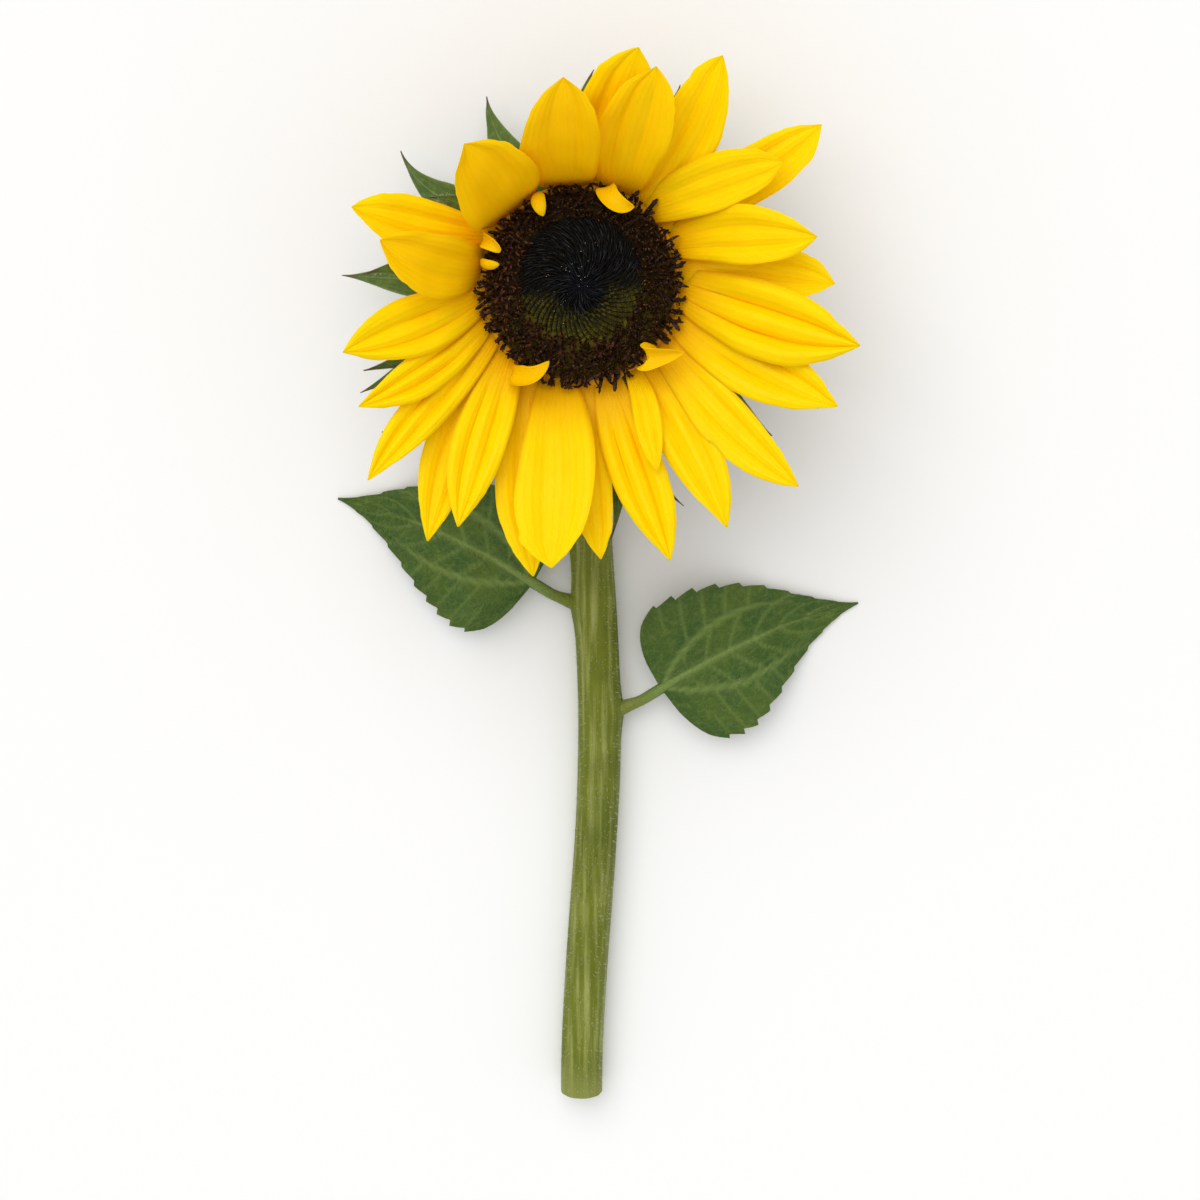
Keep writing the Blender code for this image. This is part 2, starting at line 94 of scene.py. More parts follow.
# Each ray petal: azimuth of its root and of its tip in degrees, reach of its tip from the head's
# axis and full width in mm, lift at the root and at the tip in degrees, sideways bow in mm, and how
# sharply it is folded lengthwise.
PETALS = [
    (97, 94.6, 61, 24, 80, 26, 2, 0.5), (84, 76, 72, 21, 50, 30, 1, 0.5),
    (66, 70.6, 68, 22, 64, 24, 1.5, 0.6), (53, 58, 80, 18, 38, 22, -3, 0.7),
    (38, 33.4, 87, 16.5, 24, 12, -2, 0.6), (50, 31, 71, 16.5, 46, 18, 1, 0.7),
    (25, 11.4, 72, 18, 48, 24, 2, 0.9), (12, 0.2, 77, 17, 24, 14, 1, 0.7),
    (0, -12.3, 86, 23, 34, 14, -2, 1.6), (-15, -25.3, 86, 19, 26, 12, -2, 1.1),
    (-35, -42.7, 90, 15.5, 24, 10, -2.5, 0.9), (-50, -58.8, 86, 16, 24, 10, 1, 1.3),
    (-58, -67.4, 61, 8, 40, 14, 1, 0.9), (-73, -71.9, 88, 16.5, 22, 8, -1, 1.4),
    (-86, -85.8, 84, 14, 12, 8, -2, 0.9), (-107, -96, 86, 24, 34, 8, 1, 0.55),
    (-124, -99.3, 90, 18, 14, 8, -2, 0.9), (-138, -117, 82, 16, 30, 10, -1, 1.2),
    (-150, -121, 91, 16, 12, 8, -2.5, 1.0), (-155, -137.6, 87, 13, 26, 16, 0, 1.7),
    (-162, -151.4, 76, 13, 34, 20, 3, 1.8), (-177, -164.3, 74, 18, 38, 22, 1.5, 1.3),
    (170, 167.4, 61, 19, 70, 26, 3, 0.5), (149, 161.2, 72, 17, 42, 26, 2, 0.8),
    (132, 129.5, 54, 26, 82, 30, 0, 0.4),
]

# Short inner rays that curl over the disc's rim: four points of the middle line in mm in the head's
# frame, the way across the blade, its width in mm, and how deep its trough is.
CURLED_RAYS = [
    ([(12.2, 27.7, 1.5), (5.5, 34.5, 13), (6.5, 23, 18), (16.5, 23.5, 14)],
     (0.9, 0.35, -0.1), 6.2, 0.5),
    ([(-12.7, 27.4, 1.5), (-13.8, 29.2, 11), (-13.2, 25.5, 16.5), (-11.2, 20.8, 14.5)],
     (0.9, 0.45, 0), 4.4, -0.5),
    ([(-29.4, 7.1, 1.5), (-32, 6.8, 9), (-28.5, 5.4, 15.5), (-24.6, 6.2, 14.2)],
     (-0.2, 0.9, 0.3), 3.2, -0.5),
    ([(-28.1, 11, 1.5), (-32.5, 15, 12), (-27, 14, 17), (-24.4, 9.8, 14.8)],
     (0.3, 0.9, 0.5), 4.6, 0.6),
    ([(-19.1, -23.4, 1.5), (-24, -27, 11), (-14, -32.5, 16), (-9.5, -23, 15.5)],
     (0.1, 0.9, -0.5), 6.5, 0.8),
    ([(22.3, -20.4, 1.5), (27, -20.5, 12), (8, -24, 16.5), (31.5, -20.5, 14)],
     (0.15, 0.9, 0.35), 8.0, 0.7),
]

# Rows of green bracts: radius and height of their roots, then for each bract its azimuth, its
# length and width in mm, and its lift at the root and at the tip in degrees.
BRACT_ROWS = {
    "inner": ((25 * MM, -5 * MM), [
        (0, 44, 16, 2, -4), (34, 32, 14, 12, 18), (62, 36, 15, 8, 10),
        (88, 26, 15, 22, 26), (118, 14, 14, 24, 36), (146, 24, 15, 16, 20),
        (174, 36, 15, 4, -4), (203, 41, 14, 2, 8), (232, 40, 15, 0, -8),
        (262, 42, 14, 0, -4), (281, 48, 14, 0, 4), (318, 44, 15, 0, -6),
    ]),
    "outer": ((17 * MM, -12 * MM), [
        (16, 56, 18, -4, -78), (48, 52, 19, -8, -72), (76, 50, 18, -10, -62),
        (104, 46, 19, -12, -72), (133, 48, 18, -12, -80), (162, 56, 19, -6, -78),
        (191, 58, 18, -4, -76), (220, 54, 18, -4, -42), (250, 46, 16, -2, -16),
        (290, 46, 16, -2, -14), (322, 54, 18, -4, -44), (350, 58, 19, -4, -78),
    ]),
    "middle": ((22 * MM, -8.5 * MM), [
        (2, 48, 16, -4, -38), (33, 44, 16, -6, -40), (62, 42, 15, -6, -32),
        (90, 38, 15, -4, -28), (119, 40, 15, -6, -44), (148, 44, 16, -6, -40),
        (178, 50, 16, -2, -44), (206, 48, 15, -2, -26), (235, 44, 15, 0, -22),
        (270, 44, 15, 2, -12), (305, 46, 15, 0, -24), (336, 50, 16, -4, -30),
    ]),
}

# Radius and height along the side of the green cup
CUP_SIDE = [(17 * MM, -17.2 * MM), (24 * MM, -13 * MM), (29 * MM, -7 * MM), (31 * MM, -2.5 * MM)]

# Models of open florets: length in mm and lift at the tip in degrees of the two curled branches,
# radians between the branches, and how thick they are.
OPEN_FLORETS = {
    "ram_horn": (3.3, -160, 2.8, 1.1),
    "half_curled": (2.6, -60, 3.4, 1.25),
    "just_open": (1.9, 30, 2.4, 1.1),
    "long_hook": (3.4, -90, 3.0, 1.2),
    "split_hook": (2.9, -50, 0.5, 1.6),
}

# Models of withered branches at the rim: length and radius at the root and at the tip in mm, lift
# at the root and at the tip and sideways roll in degrees.
RIM_HOOKS = {
    "club": (4.9, 0.38, 0.60, 40, 8, 0),
    "bent_down": (5.6, 0.50, 0.32, 58, -50, 0),
    "bent_left": (5.6, 0.50, 0.32, 8, 140, 62),
    "bent_right": (5.6, 0.50, 0.32, 8, 140, -62),
}

# The models' numbers, in the order of the two tables
RAM_HORN, HALF_CURLED, JUST_OPEN, LONG_HOOK, SPLIT_HOOK = range(5)
CLUB, BENT_DOWN, BENT_LEFT, BENT_RIGHT = range(5, 9)

# Which models stand inside the ring, at its outer edge, beyond it and as hooks at the rim
RING_CHOICE = (RAM_HORN, RAM_HORN, HALF_CURLED, LONG_HOOK)
EDGE_CHOICE = (RAM_HORN, HALF_CURLED, LONG_HOOK, SPLIT_HOOK)
BEYOND_CHOICE = (LONG_HOOK, SPLIT_HOOK, SPLIT_HOOK, SPLIT_HOOK)
HOOK_CHOICE = (CLUB, CLUB, BENT_DOWN, BENT_LEFT, BENT_RIGHT)

# Between which shares of the disc's radius the rim's florets and hooks stand, and the share beyond
# which a floret leans out over the petals
RIM_FLORET_BAND, RIM_HOOK_BAND, LEANING_FROM = (0.962, 0.99), (0.93, 0.985), 0.96
# The azimuth, in radians, of the painted lit side of the open florets' ring, where their tips are
# painted reddest
LIT_RING_SIDE = 3.9

# Ways to stand a floret near the petals, tried in turn: how far it bends inwards, share of its size
FLORET_TRIES = [(0, 1), (0.35, 1), (0.7, 0.9), (0.3, 0.7), (0.8, 0.7), (0.1, 0.45)]
NEAR_PETALS = 8 * MM
PETAL_CLEARANCE = 0.3 * MM

# Leaves: side of the stem, share of the stem's length at the leaf's root, blade length and width.
LEAVES = {
    "leaf_left": (-1, 0.66, 78 * MM, 50 * MM),
    "leaf_right": (1, 0.52, 80 * MM, 52 * MM),
}

# From the head to the key light, and the floor's width, in metres
KEY_LIGHT_WAY = Vector((-0.35, 0.95, 1.35))
FLOOR_WIDTH = 60


def length(name, description, default):
    """A length that a user may change, in metres."""
    return FloatProperty(
        name=name, description=description, default=default, unit="LENGTH", precision=4)


def share(name, description, default):
    """A plain factor that a user may change."""
    return FloatProperty(
        name=name, description=description, default=default, min=0, max=1, subtype="FACTOR")


def degrees(name, description, default):
    """An angle that a user may change; its default is given in degrees."""
    return FloatProperty(
        name=name, description=description, default=math.radians(default), subtype="ANGLE")


def brightness(name, description, default):
    """A strength of light that a user may change."""
    return FloatProperty(name=name, description=description, default=default)


def number(name, description, default):
    """A count that a user may change."""
    return IntProperty(name=name, description=description, default=default, min=1)


def colour(name, description, default):
    """A colour that a user may change."""
    return FloatVectorProperty(
        name=name, description=description, default=default, min=0, max=1, subtype="COLOR")


class SunflowerSizes(bpy.types.PropertyGroup):
    """Sizes of the stem, head, petals and leaves."""
    gap: length("Gap", "Clearance between pieces that meet", 0.3 * MM)
    stem_radius: length("Stem radius", "Radius of the lying stretch", 7.2 * MM)
    neck_top_radius: length("Neck top radius", "Radius where the neck meets the cup", 10.4 * MM)
    stem_length: length("Stem length", "From the cut end to the start of the neck", 262 * MM)
    stem_bow: length("Stem bow", "How far the stem bows sideways", 6 * MM)
    neck_bend_radius: length("Neck bend radius", "Radius of the neck's bend", 23 * MM)
    neck_straight: length("Neck straight", "Straight stretch under the cup", 4 * MM)
    head_tilt: degrees("Head tilt", "Tilt of the face away from the stem", 12)
    head_x: length("Head X", "Centre of the head across the stem", -6 * MM)
    head_y: length("Head Y", "Centre of the head along the stem", 106.6 * MM)
    disc_radius: length("Disc radius", "Radius of the dark disc", 29.2 * MM)
    disc_foot_radius: length("Disc foot radius", "Radius of the disc's lower edge", 28.3 * MM)
    cup_radius: length("Cup radius", "Largest radius of the green cup", 31 * MM)
    cup_depth: length("Cup depth", "Depth of the green cup", 19 * MM)
    ring_inner_radius: length("Ring inner radius", "Inner radius of the petals' ring", 22.5 * MM)
    ring_outer_radius: length("Ring outer radius", "Outer radius of the petals' ring", 31 * MM)
    ring_height: length("Ring height", "Height of the petals' ring", 2.4 * MM)
    petal_root_radius: length("Petal root radius", "From the head's axis to the petals", 30.2 * MM)
    petal_root_sink: length("Petal root sink", "How far flat petals reach into the ring", 2.0 * MM)
    petal_root_height: length("Petal root height", "Height of the petal roots", 0.7 * MM)
    petal_thickness: length("Petal thickness", "Thickness of a petal's middle", 0.42 * MM)
    petal_hollow: share("Petal hollow", "How hollow a petal is across", 0.22)
    petal_pleat: share("Petal pleat", "Depth of a petal's pleats", 0.12)
    petal_ripple: length("Petal ripple", "Height of the waves along a petal's edge", 0.9 * MM)
    bract_thickness: length("Bract thickness", "Thickness of a bract's middle", 0.7 * MM)
    bract_hollow: share("Bract hollow", "How hollow a bract is across", 0.12)
    dish_centre_height: length("Dish centre height", "Height of the disc at its centre", 6.2 * MM)
    dish_rise: length("Dish rise", "Rise of the disc towards its open florets", 2.2 * MM)
    dish_rim_drop: length("Dish rim drop", "Drop of the disc at its rim", 3.2 * MM)
    floret_count: number("Florets", "Florets on the whole disc", 980)
    bristle_radius: length("Bristle radius", "Radius of the dark bristles in the middle", 9 * MM)
    open_ring_radius: length("Open ring radius", "Inner radius of the open florets", 18.3 * MM)
    bud_height: length("Bud height", "Height of a closed floret", 1.5 * MM)
    open_floret_height: length("Open floret height", "Height of an open floret", 3.9 * MM)
    rim_florets: number("Rim florets", "Open florets that lean out over the rim", 100)
    rim_hooks: number("Rim hooks", "Long withered branches at the rim", 64)
    speck_count: number("Specks", "Pale pollen grains in the dish", 60)
    petiole_length: length("Leaf stalk length", "Length of a leaf's stalk", 20 * MM)
    petiole_width: length("Leaf stalk width", "Width of a leaf's stalk", 3.6 * MM)
    leaf_thickness: length("Leaf thickness", "Thickness of a leaf's blade", 0.55 * MM)
    leaf_teeth: number("Leaf teeth", "Teeth along each side of a leaf", 11)
    leaf_veins: number("Leaf veins", "Side veins along each half of a leaf", 8)
    stem_hairs: number("Stem hairs", "Hairs on the stem", 5200)
    bract_hairs: number("Bract hairs", "Hairs on each bract", 170)
    leaf_hairs: number("Leaf hairs", "Hairs on each leaf", 900)
    hair_length: length("Hair length", "Length of a long hair", 1.5 * MM)


class SunflowerColours(bpy.types.PropertyGroup):
    """Colours of the flower, linear."""
    petal: colour("Petal", "Yellow of a petal's blade", (1.0, 0.64, 0.0))
    # Amber painted shade at a petal's root, where it meets the disc
    petal_root_shade: colour("Petal root", "Amber at a petal's root", (0.84, 0.38, 0.0))
    # Amber of the real veins, also used for painted shade in the creases and on the steep petals
    petal_vein_and_shade: colour("Petal vein", "Amber of the creases and veins", (0.90, 0.44, 0.0))
    # Deep amber painted shade along a petal's edges and creases near its root, where the petals
    # overlap
    petal_painted_shade: colour("Petal shade", "Deep amber near the root", (0.60, 0.20, 0.0))
    bristle: colour("Bristle", "Blue-black of the innermost bristles", (0.004, 0.005, 0.007))
    # A painted sheen: blue-grey on the outer part of some scales
    bristle_painted_sheen: colour("Bristle light", "Blue-grey of pale bristles", (0.034, 0.038, 0.044))
    bud: colour("Bud", "Olive green of the closed florets", (0.185, 0.160, 0.011))
    bud_tip: colour("Bud tip", "Tips of the closed florets", (0.020, 0.013, 0.003))
    floret: colour("Floret", "Dark maroon of the curled branches", (0.013, 0.0035, 0.001))
    # Red tips of the branches, painted lighter on the lit side of the ring
    floret_red_and_lit: colour("Floret light", "Red tips of the branches", (0.110, 0.030, 0.012))
    floret_tube: colour("Floret tube", "Brown of the floret tubes", (0.10, 0.036, 0.006))
    floret_dry: colour("Floret dry", "Tan flecks of the withered branches", (0.22, 0.125, 0.030))
    pollen: colour("Pollen", "Pale pollen grains", (0.62, 0.62, 0.55))
    pollen_light: colour("Pollen light", "Palest pollen grains", (0.9, 0.9, 0.85))
    stem: colour("Stem", "Olive green of the stem", (0.142, 0.165, 0.010))
    stem_light: colour("Stem light", "Grey-green streaks of the stem", (0.30, 0.32, 0.085))
    stem_dark: colour("Stem dark", "Dark flecks of the stem", (0.055, 0.080, 0.004))
    pith: colour("Pith", "Pale inside of the cut end", (0.62, 0.66, 0.42))
    hair: colour("Hair", "Pale hairs", (0.50, 0.56, 0.32))
    hair_tip: colour("Hair tip", "Paler tips of the hairs", (0.85, 0.88, 0.75))
    bract: colour("Bract", "Green of the bracts", (0.075, 0.125, 0.012))
    bract_light: colour("Bract light", "Paler veins and edges of the bracts", (0.21, 0.27, 0.06))
    bract_tip: colour("Bract tip", "Brown of the withered tips", (0.085, 0.042, 0.014))
    leaf: colour("Leaf", "Deep green of the leaves", (0.034, 0.084, 0.009))
    leaf_vein: colour("Leaf vein", "Paler green of the veins", (0.20, 0.28, 0.065))
    floor: colour("Floor", "Pale floor", (0.90, 0.90, 0.89))
    floor_light: colour("Floor light", "Paler clouds on the floor", (1, 1, 1))


class SunflowerStudio(bpy.types.PropertyGroup):
    """Camera and light."""
    camera_distance: length("Camera distance", "From the head to the camera, on its axis", 1.1)
    view_height: length("View height", "What the frame takes in at the flower", 0.385)
    key_spread: degrees("Key spread", "Apparent size of the soft key light", 55)
    key_strength: brightness("Key strength", "Strength of the key light", 1.75)
    sky_strength: brightness("Sky strength", "Strength of the even light from all round", 0.66)


def sizes():
    """The sizes that a user may change."""
    return bpy.context.scene.sunflower_sizes


def colours():
    """The colours that a user may change."""
    return bpy.context.scene.sunflower_colours


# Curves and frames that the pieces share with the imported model

def smooth_step(low, high, value):
    """0 below low, 1 above high, and a soft rise between them."""
    part = min(1.0, max(0.0, (value - low) / (high - low)))
    return part * part * (3 - 2 * part)


def arc_centreline(whole, start_lift, end_lift, along):
    """(distance outwards, height) along a blade whose lift turns evenly from root to tip."""
    turn = end_lift - start_lift
    if abs(turn) < 1e-4:
        return whole * along * math.cos(start_lift), whole * along * math.sin(start_lift)
    radius = whole / turn
    lift = start_lift + turn * along
    out = radius * (math.sin(lift) - math.sin(start_lift))
    return out, radius * (math.cos(start_lift) - math.cos(lift))


def polar(radius, azimuth, height=0):
    """A point in the head's frame, azimuth in degrees."""
    angle = math.radians(azimuth)
    return Vector((radius * math.cos(angle), radius * math.sin(angle), height))


def spoke(angle):
    """The direction outwards at an azimuth in radians, in the head's frame."""
    return Vector((math.cos(angle), math.sin(angle), 0))


def turned_left(way):
    """A level direction, turned left by a right angle."""
    return Vector((-way.y, way.x, 0))


def neck_bend():
    """The angle through which the neck bends, from lying flat to the head's axis."""
    return math.pi / 2 - sizes().head_tilt


def neck_way(angle):
    """The way from the start of the neck's bend to where it has turned by an angle."""
    return sizes().neck_bend_radius * Vector((0, math.sin(angle), 1 - math.cos(angle)))


def head_matrix():
    """Places the head's own frame above the surface, carried by the bend of the neck."""
    size = sizes()
    bend_rise = size.neck_bend_radius * (1 - math.cos(neck_bend()))
    bend_end = Vector((size.head_x, 0, size.stem_radius + bend_rise))
    axis = Vector((0, math.sin(size.head_tilt), math.cos(size.head_tilt)))
    centre = bend_end + axis * (size.neck_straight + size.gap + size.cup_depth)
    centre.y = size.head_y
    return Matrix.Translation(centre) @ Matrix.Rotation(-size.head_tilt, 4, "X")


def head_axis():
    """The direction in which the face looks."""
    return head_matrix().to_3x3() @ UP


def neck_top():
    """Where the neck meets the cup, a gap below it."""
    size = sizes()
    return head_matrix() @ Vector((0, 0, -size.cup_depth - size.gap))


def neck_bend_start():
    """Where the lying stretch of the stem ends and the neck begins to rise."""
    return neck_top() - head_axis() * sizes().neck_straight - neck_way(neck_bend())


def stem_centre(along, start, size):
    """Centre line of the lying stretch, from the cut end (0) to the start of the neck (1)."""
    bow = size.stem_bow * math.sin(math.pi * along) ** 2
    return start + Vector((bow, -size.stem_length * (1 - along), 0))


# Modelling helpers

def pick(piece):
    """Deselects everything, then selects this object and makes it the active one."""
    bpy.ops.object.select_all(action="DESELECT")
    piece.select_set(True)
    bpy.context.view_layer.objects.active = piece


def added(name):
    """The object that a primitive operator has just added, named."""
    made = bpy.context.object
    made.name = name
    made.data.name = name
    return made


def primitive(name, add, **settings):
    """Adds a primitive with nothing else selected, and names it."""
    bpy.ops.object.select_all(action="DESELECT")
    add(**settings)
    return added(name)


def select_in_edit(piece, mode, wanted):
    """Enters edit mode with only the wanted vertices, edges or faces selected."""
    pick(piece)
    bpy.ops.object.mode_set(mode="EDIT")
    bpy.ops.mesh.select_mode(type=mode)
    bpy.ops.mesh.select_all(action="DESELECT")
    builder = bmesh.from_edit_mesh(piece.data)
    items = {"VERT": builder.verts, "EDGE": builder.edges, "FACE": builder.faces}[mode]
    for item in items:
        if wanted(item):
            item.select_set(True)
    bmesh.update_edit_mesh(piece.data)


def rises(height):
    """A test for the edges that rise by more than a height."""
    return lambda edge: abs(edge.verts[0].co.z - edge.verts[1].co.z) > height


def leave_edit():
    """Back to object mode."""
    bpy.ops.object.mode_set(mode="OBJECT")


def face_outwards():
    """Turns all faces of the closed piece in edit mode outwards, and leaves edit mode."""
    bpy.ops.mesh.select_all(action="SELECT")
    bpy.ops.mesh.normals_make_consistent(inside=False)
    leave_edit()


def apply_modifiers(piece):
    """Applies every modifier of a piece."""
    pick(piece)
    for modifier in list(piece.modifiers):
        bpy.ops.object.modifier_apply(modifier=modifier.name)


def joined(name, pieces):
    """Joins several objects into one."""
    pick(pieces[0])
    for piece in pieces:
        piece.select_set(True)
    bpy.ops.object.join()
    return added(name)


def smooth(piece, angle=45):
    """Smooth shading, with edges sharper than the angle kept crisp."""
    pick(piece)
    bpy.ops.object.shade_smooth_by_angle(angle=math.radians(angle))


def note(piece, name, values):
    """Writes one number per vertex, for the materials to read."""
    layer = piece.data.attributes.get(name) or piece.data.attributes.new(name, "FLOAT", "POINT")
    layer.data.foreach_set("value", values)


def note_all(piece, name, value):
    """Writes the same number at each vertex."""
    note(piece, name, [value] * len(piece.data.vertices))


def read_note(piece, name):
    """The numbers that a piece's vertices were noted with."""
    return [item.value for item in piece.data.attributes[name].data]


def carry(piece, node, slot, *finishes):
    """Gives a finished piece its materials and its body, and hides the imported part that it stands
    for.
    """
    if finishes:
        piece.data.materials.clear()
        for finish in finishes:
            piece.data.materials.append(finish)
    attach(piece, "root")
    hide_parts(node)


def blade(name, rows, columns, thickness, place, edge=0.45):
    """A thin closed blade from a grid that place(along, across) shapes.

    It is thinner towards its tip and edge, where the edge's share of the thickness is left.
    """
    made = primitive(
        name, bpy.ops.mesh.primitive_grid_add, x_subdivisions=rows, y_subdivisions=columns, size=2)
    fullness = made.vertex_groups.new(name="fullness")
    for vert in made.data.vertices:
        along, across = (vert.co.x + 1) / 2, vert.co.y
        full = (1 - across ** 4) * (1 - along ** 6)
        fullness.add([vert.index], full, "REPLACE")
        vert.co = place(along, across)
    walls = made.modifiers.new("Thickness", "SOLIDIFY")
    walls.thickness = thickness
    walls.offset = 0
    walls.vertex_group = fullness.name
    walls.thickness_vertex_group = edge
    apply_modifiers(made)
    made.vertex_groups.clear()
    return made


def note_on_blade(piece, name, strength):
    """Notes strength(along, across) at each vertex of a blade, read off its UV map."""
    values = [0.0] * len(piece.data.vertices)
    for loop, coordinate in zip(piece.data.loops, piece.data.uv_layers[0].data):
        values[loop.vertex_index] = strength(coordinate.uv.x, coordinate.uv.y * 2 - 1)
    note(piece, name, values)


def tube(name, stations, sides, skin=None):
    """A closed round tube through stations of (centre, radius), from a cylinder cut into rings.

    skin(station, angle) gives a factor on the radius.
    """
    made = primitive(
        name, bpy.ops.mesh.primitive_cylinder_add, vertices=sides, radius=1, depth=2)
    select_in_edit(made, "EDGE", rises(1))
    bpy.ops.mesh.subdivide(number_cuts=len(stations) - 2)
    leave_edit()
    last = len(stations) - 1
    frames = []
    for step, (centre, radius) in enumerate(stations):
        tangent = (stations[min(step + 1, last)][0] - stations[max(step - 1, 0)][0]).normalized()
        other = Vector((1, 0, 0)) if abs(tangent.x) < 0.7 else Vector((0, 1, 0))
        side = -other.cross(tangent).cross(tangent).normalized()
        frames.append((centre, radius, side, tangent.cross(side)))
    along = []
    for vert in made.data.vertices:
        step = round((vert.co.z + 1) / 2 * last)
        centre, radius, side, up = frames[step]
        angle = math.atan2(vert.co.y, vert.co.x)
        grown = radius * (skin(step, angle) if skin else 1)
        vert.co = centre + grown * (math.cos(angle) * side + math.sin(angle) * up)
        along.append(step / last)
    note(made, "along", along)
    return made


def turned(name, profile, segments):
    """A closed solid of revolution about Z, from a disc extruded ring by ring along the profile."""
    (radius, height), *others = profile
    made = primitive(
        name, bpy.ops.mesh.primitive_circle_add,
        vertices=segments, radius=radius, fill_type="NGON")
    made.data.transform(Matrix.Translation((0, 0, height)))
    select_in_edit(made, "FACE", lambda face: True)
    for next_radius, next_height in others:
        bpy.ops.mesh.extrude_region_move(
            TRANSFORM_OT_translate={"value": (0, 0, next_height - height)})
        factor = next_radius / radius
        bpy.ops.transform.resize(value=(factor, factor, 1), center_override=(0, 0, next_height))
        radius, height = next_radius, next_height
    face_outwards()
    return made


def spike(
        name, tall, root_radius, tip_radius, sides, cuts, start_lift, end_lift,
        first=0.0, last=1.0):
    """A small tapered spike, bent in the XZ plane from one lift to another, in degrees.

    Its vertices are noted with "ripe", running from first at the root to last at the tip.
    """
    made = primitive(
        name, bpy.ops.mesh.primitive_cone_add,
        vertices=sides, radius1=root_radius, radius2=tip_radius, depth=tall)
    if cuts:
        select_in_edit(made, "EDGE", rises(tall / 2))
        bpy.ops.mesh.subdivide(number_cuts=cuts)
        leave_edit()
    start, end = math.radians(start_lift), math.radians(end_lift)
    ripe = []
    for vert in made.data.vertices:
        along = vert.co.z / tall + 0.5
        out, up = arc_centreline(tall, start, end, along)
        lift = start + (end - start) * along
        aside = vert.co.x
        vert.co = Vector((out + math.sin(lift) * aside, vert.co.y, up - math.cos(lift) * aside))
        ripe.append(first + (last - first) * along)
    note(made, "ripe", ripe)
    return made


def planted(name, models, places):
    """One piece made of a copy of a model for each (model number, matrix, draw) in places.

    Each copy keeps the model's "ripe" numbers and is noted with its own draw.
    """
    verts, faces, ripe, draws, shapes = [], [], [], [], []
    for model in models:
        mesh = model.data
        points = numpy.array([(*vert.co, 1.0) for vert in mesh.vertices])
        polygons = [tuple(polygon.vertices) for polygon in mesh.polygons]
        shapes.append((points, polygons, read_note(model, "ripe")))
    base = 0
    for chosen, matrix, drawn in places:
        points, polygons, numbers = shapes[chosen]
        moved = points @ numpy.array(matrix).T
        verts.extend(map(tuple, moved[:, :3]))
        faces.extend(tuple(corner + base for corner in polygon) for polygon in polygons)
        ripe.extend(numbers)
        draws.extend([drawn] * len(points))
        base += len(points)
    mesh = bpy.data.meshes.new(name)
    mesh.from_pydata(verts, [], faces)
    piece = bpy.data.objects.new(name, mesh)
    bpy.context.scene.collection.objects.link(piece)
    note(piece, "ripe", ripe)
    note(piece, "draw", draws)
    for model in models:
        bpy.data.objects.remove(model)
    return piece


def standing(place, way, turn=0.0, size=1.0, front=None):
    """A matrix that stands a model at a place, its +Z along the way, turned about it by an angle.

    Unturned, the model's +X looks to the front, where one is given.
    """
    if front is None:
        rotation = way.to_track_quat("Z", "Y").to_matrix()
    else:
        beside = way.cross(front).normalized()
        rotation = Matrix((beside.cross(way), beside, way)).transposed()
    rotation = rotation.to_4x4() @ Matrix.Rotation(turn, 4, "Z")
    return Matrix.Translation(place) @ rotation @ Matrix.Scale(size, 4)


def hair_model():
    """A fine hair of length 1, to be scaled to its own length."""
    return spike("hair", 1.0, 0.055, 0.0, 3, 0, 90, 90)


def plant_hairs(name, places, node, slot):
    """One piece with a hair at each place, for the node that the hairs grow on."""
    carry(planted(name, [hair_model()], places), node, slot, hair_finish())


# Material helpers

def finish(name, roughness, **sockets):
    """A new node material, its tree and its shader; sockets name the shader's own constants."""
    made = bpy.data.materials.new(name)
    made.use_nodes = True
    shader = made.node_tree.nodes["Principled BSDF"]
    shader.inputs["Roughness"].default_value = roughness
    shader.inputs["Specular IOR Level"].default_value = 0.2
    for socket, value in sockets.items():
        shader.inputs[socket.replace("_", " ")].default_value = value
    return made, made.node_tree, shader


def node(tree, kind, inputs, **settings):
    """Adds a node. An input that is given a socket is linked to it, any other is set."""
    made = tree.nodes.new(kind)
    for name, value in settings.items():
        setattr(made, name, value)
    for key, value in inputs.items():
        if isinstance(value, bpy.types.NodeSocket):
            tree.links.new(value, made.inputs[key])
        else:
            made.inputs[key].default_value = value
    return made


def maths(tree, operation, *values):
    """The result of one arithmetic node."""
    return node(tree, "ShaderNodeMath", dict(enumerate(values)), operation=operation).outputs[0]


def times(tree, first, second):
    """The product of two values."""
    return maths(tree, "MULTIPLY", first, second)


def remap(tree, value, low, high, new_low=0.0, new_high=1.0):
    """Maps a value softly from one range to another."""
    inputs = {
        "Value": value, "From Min": low, "From Max": high, "To Min": new_low, "To Max": new_high}
    made = node(tree, "ShaderNodeMapRange", inputs, interpolation_type="SMOOTHSTEP")
    return made.outputs["Result"]


def blend(tree, amount, first, second):
    """Mixes two colours."""
    inputs = {0: amount}
    for key, value in ((6, first), (7, second)):
        inputs[key] = value if isinstance(value, bpy.types.NodeSocket) else (*value, 1)
    return node(tree, "ShaderNodeMix", inputs, data_type="RGBA").outputs[2]


def painted(tree, base, *coats):
    """Lays coats over a base colour, each given as its amount and its colour."""
    for amount, tint in coats:
        base = blend(tree, amount, base, tint)
    return base


def noted(tree, name):
    """The number that the mesh carries at each vertex."""
    return node(tree, "ShaderNodeAttribute", {}, attribute_name=name).outputs["Fac"]


def object_coordinates(tree, stretch=(1, 1, 1)):
    """The piece's own coordinates in metres, stretched."""
    coordinates = node(tree, "ShaderNodeTexCoord", {}).outputs["Object"]
    return node(tree, "ShaderNodeMapping", {"Vector": coordinates, "Scale": stretch}).outputs[0]


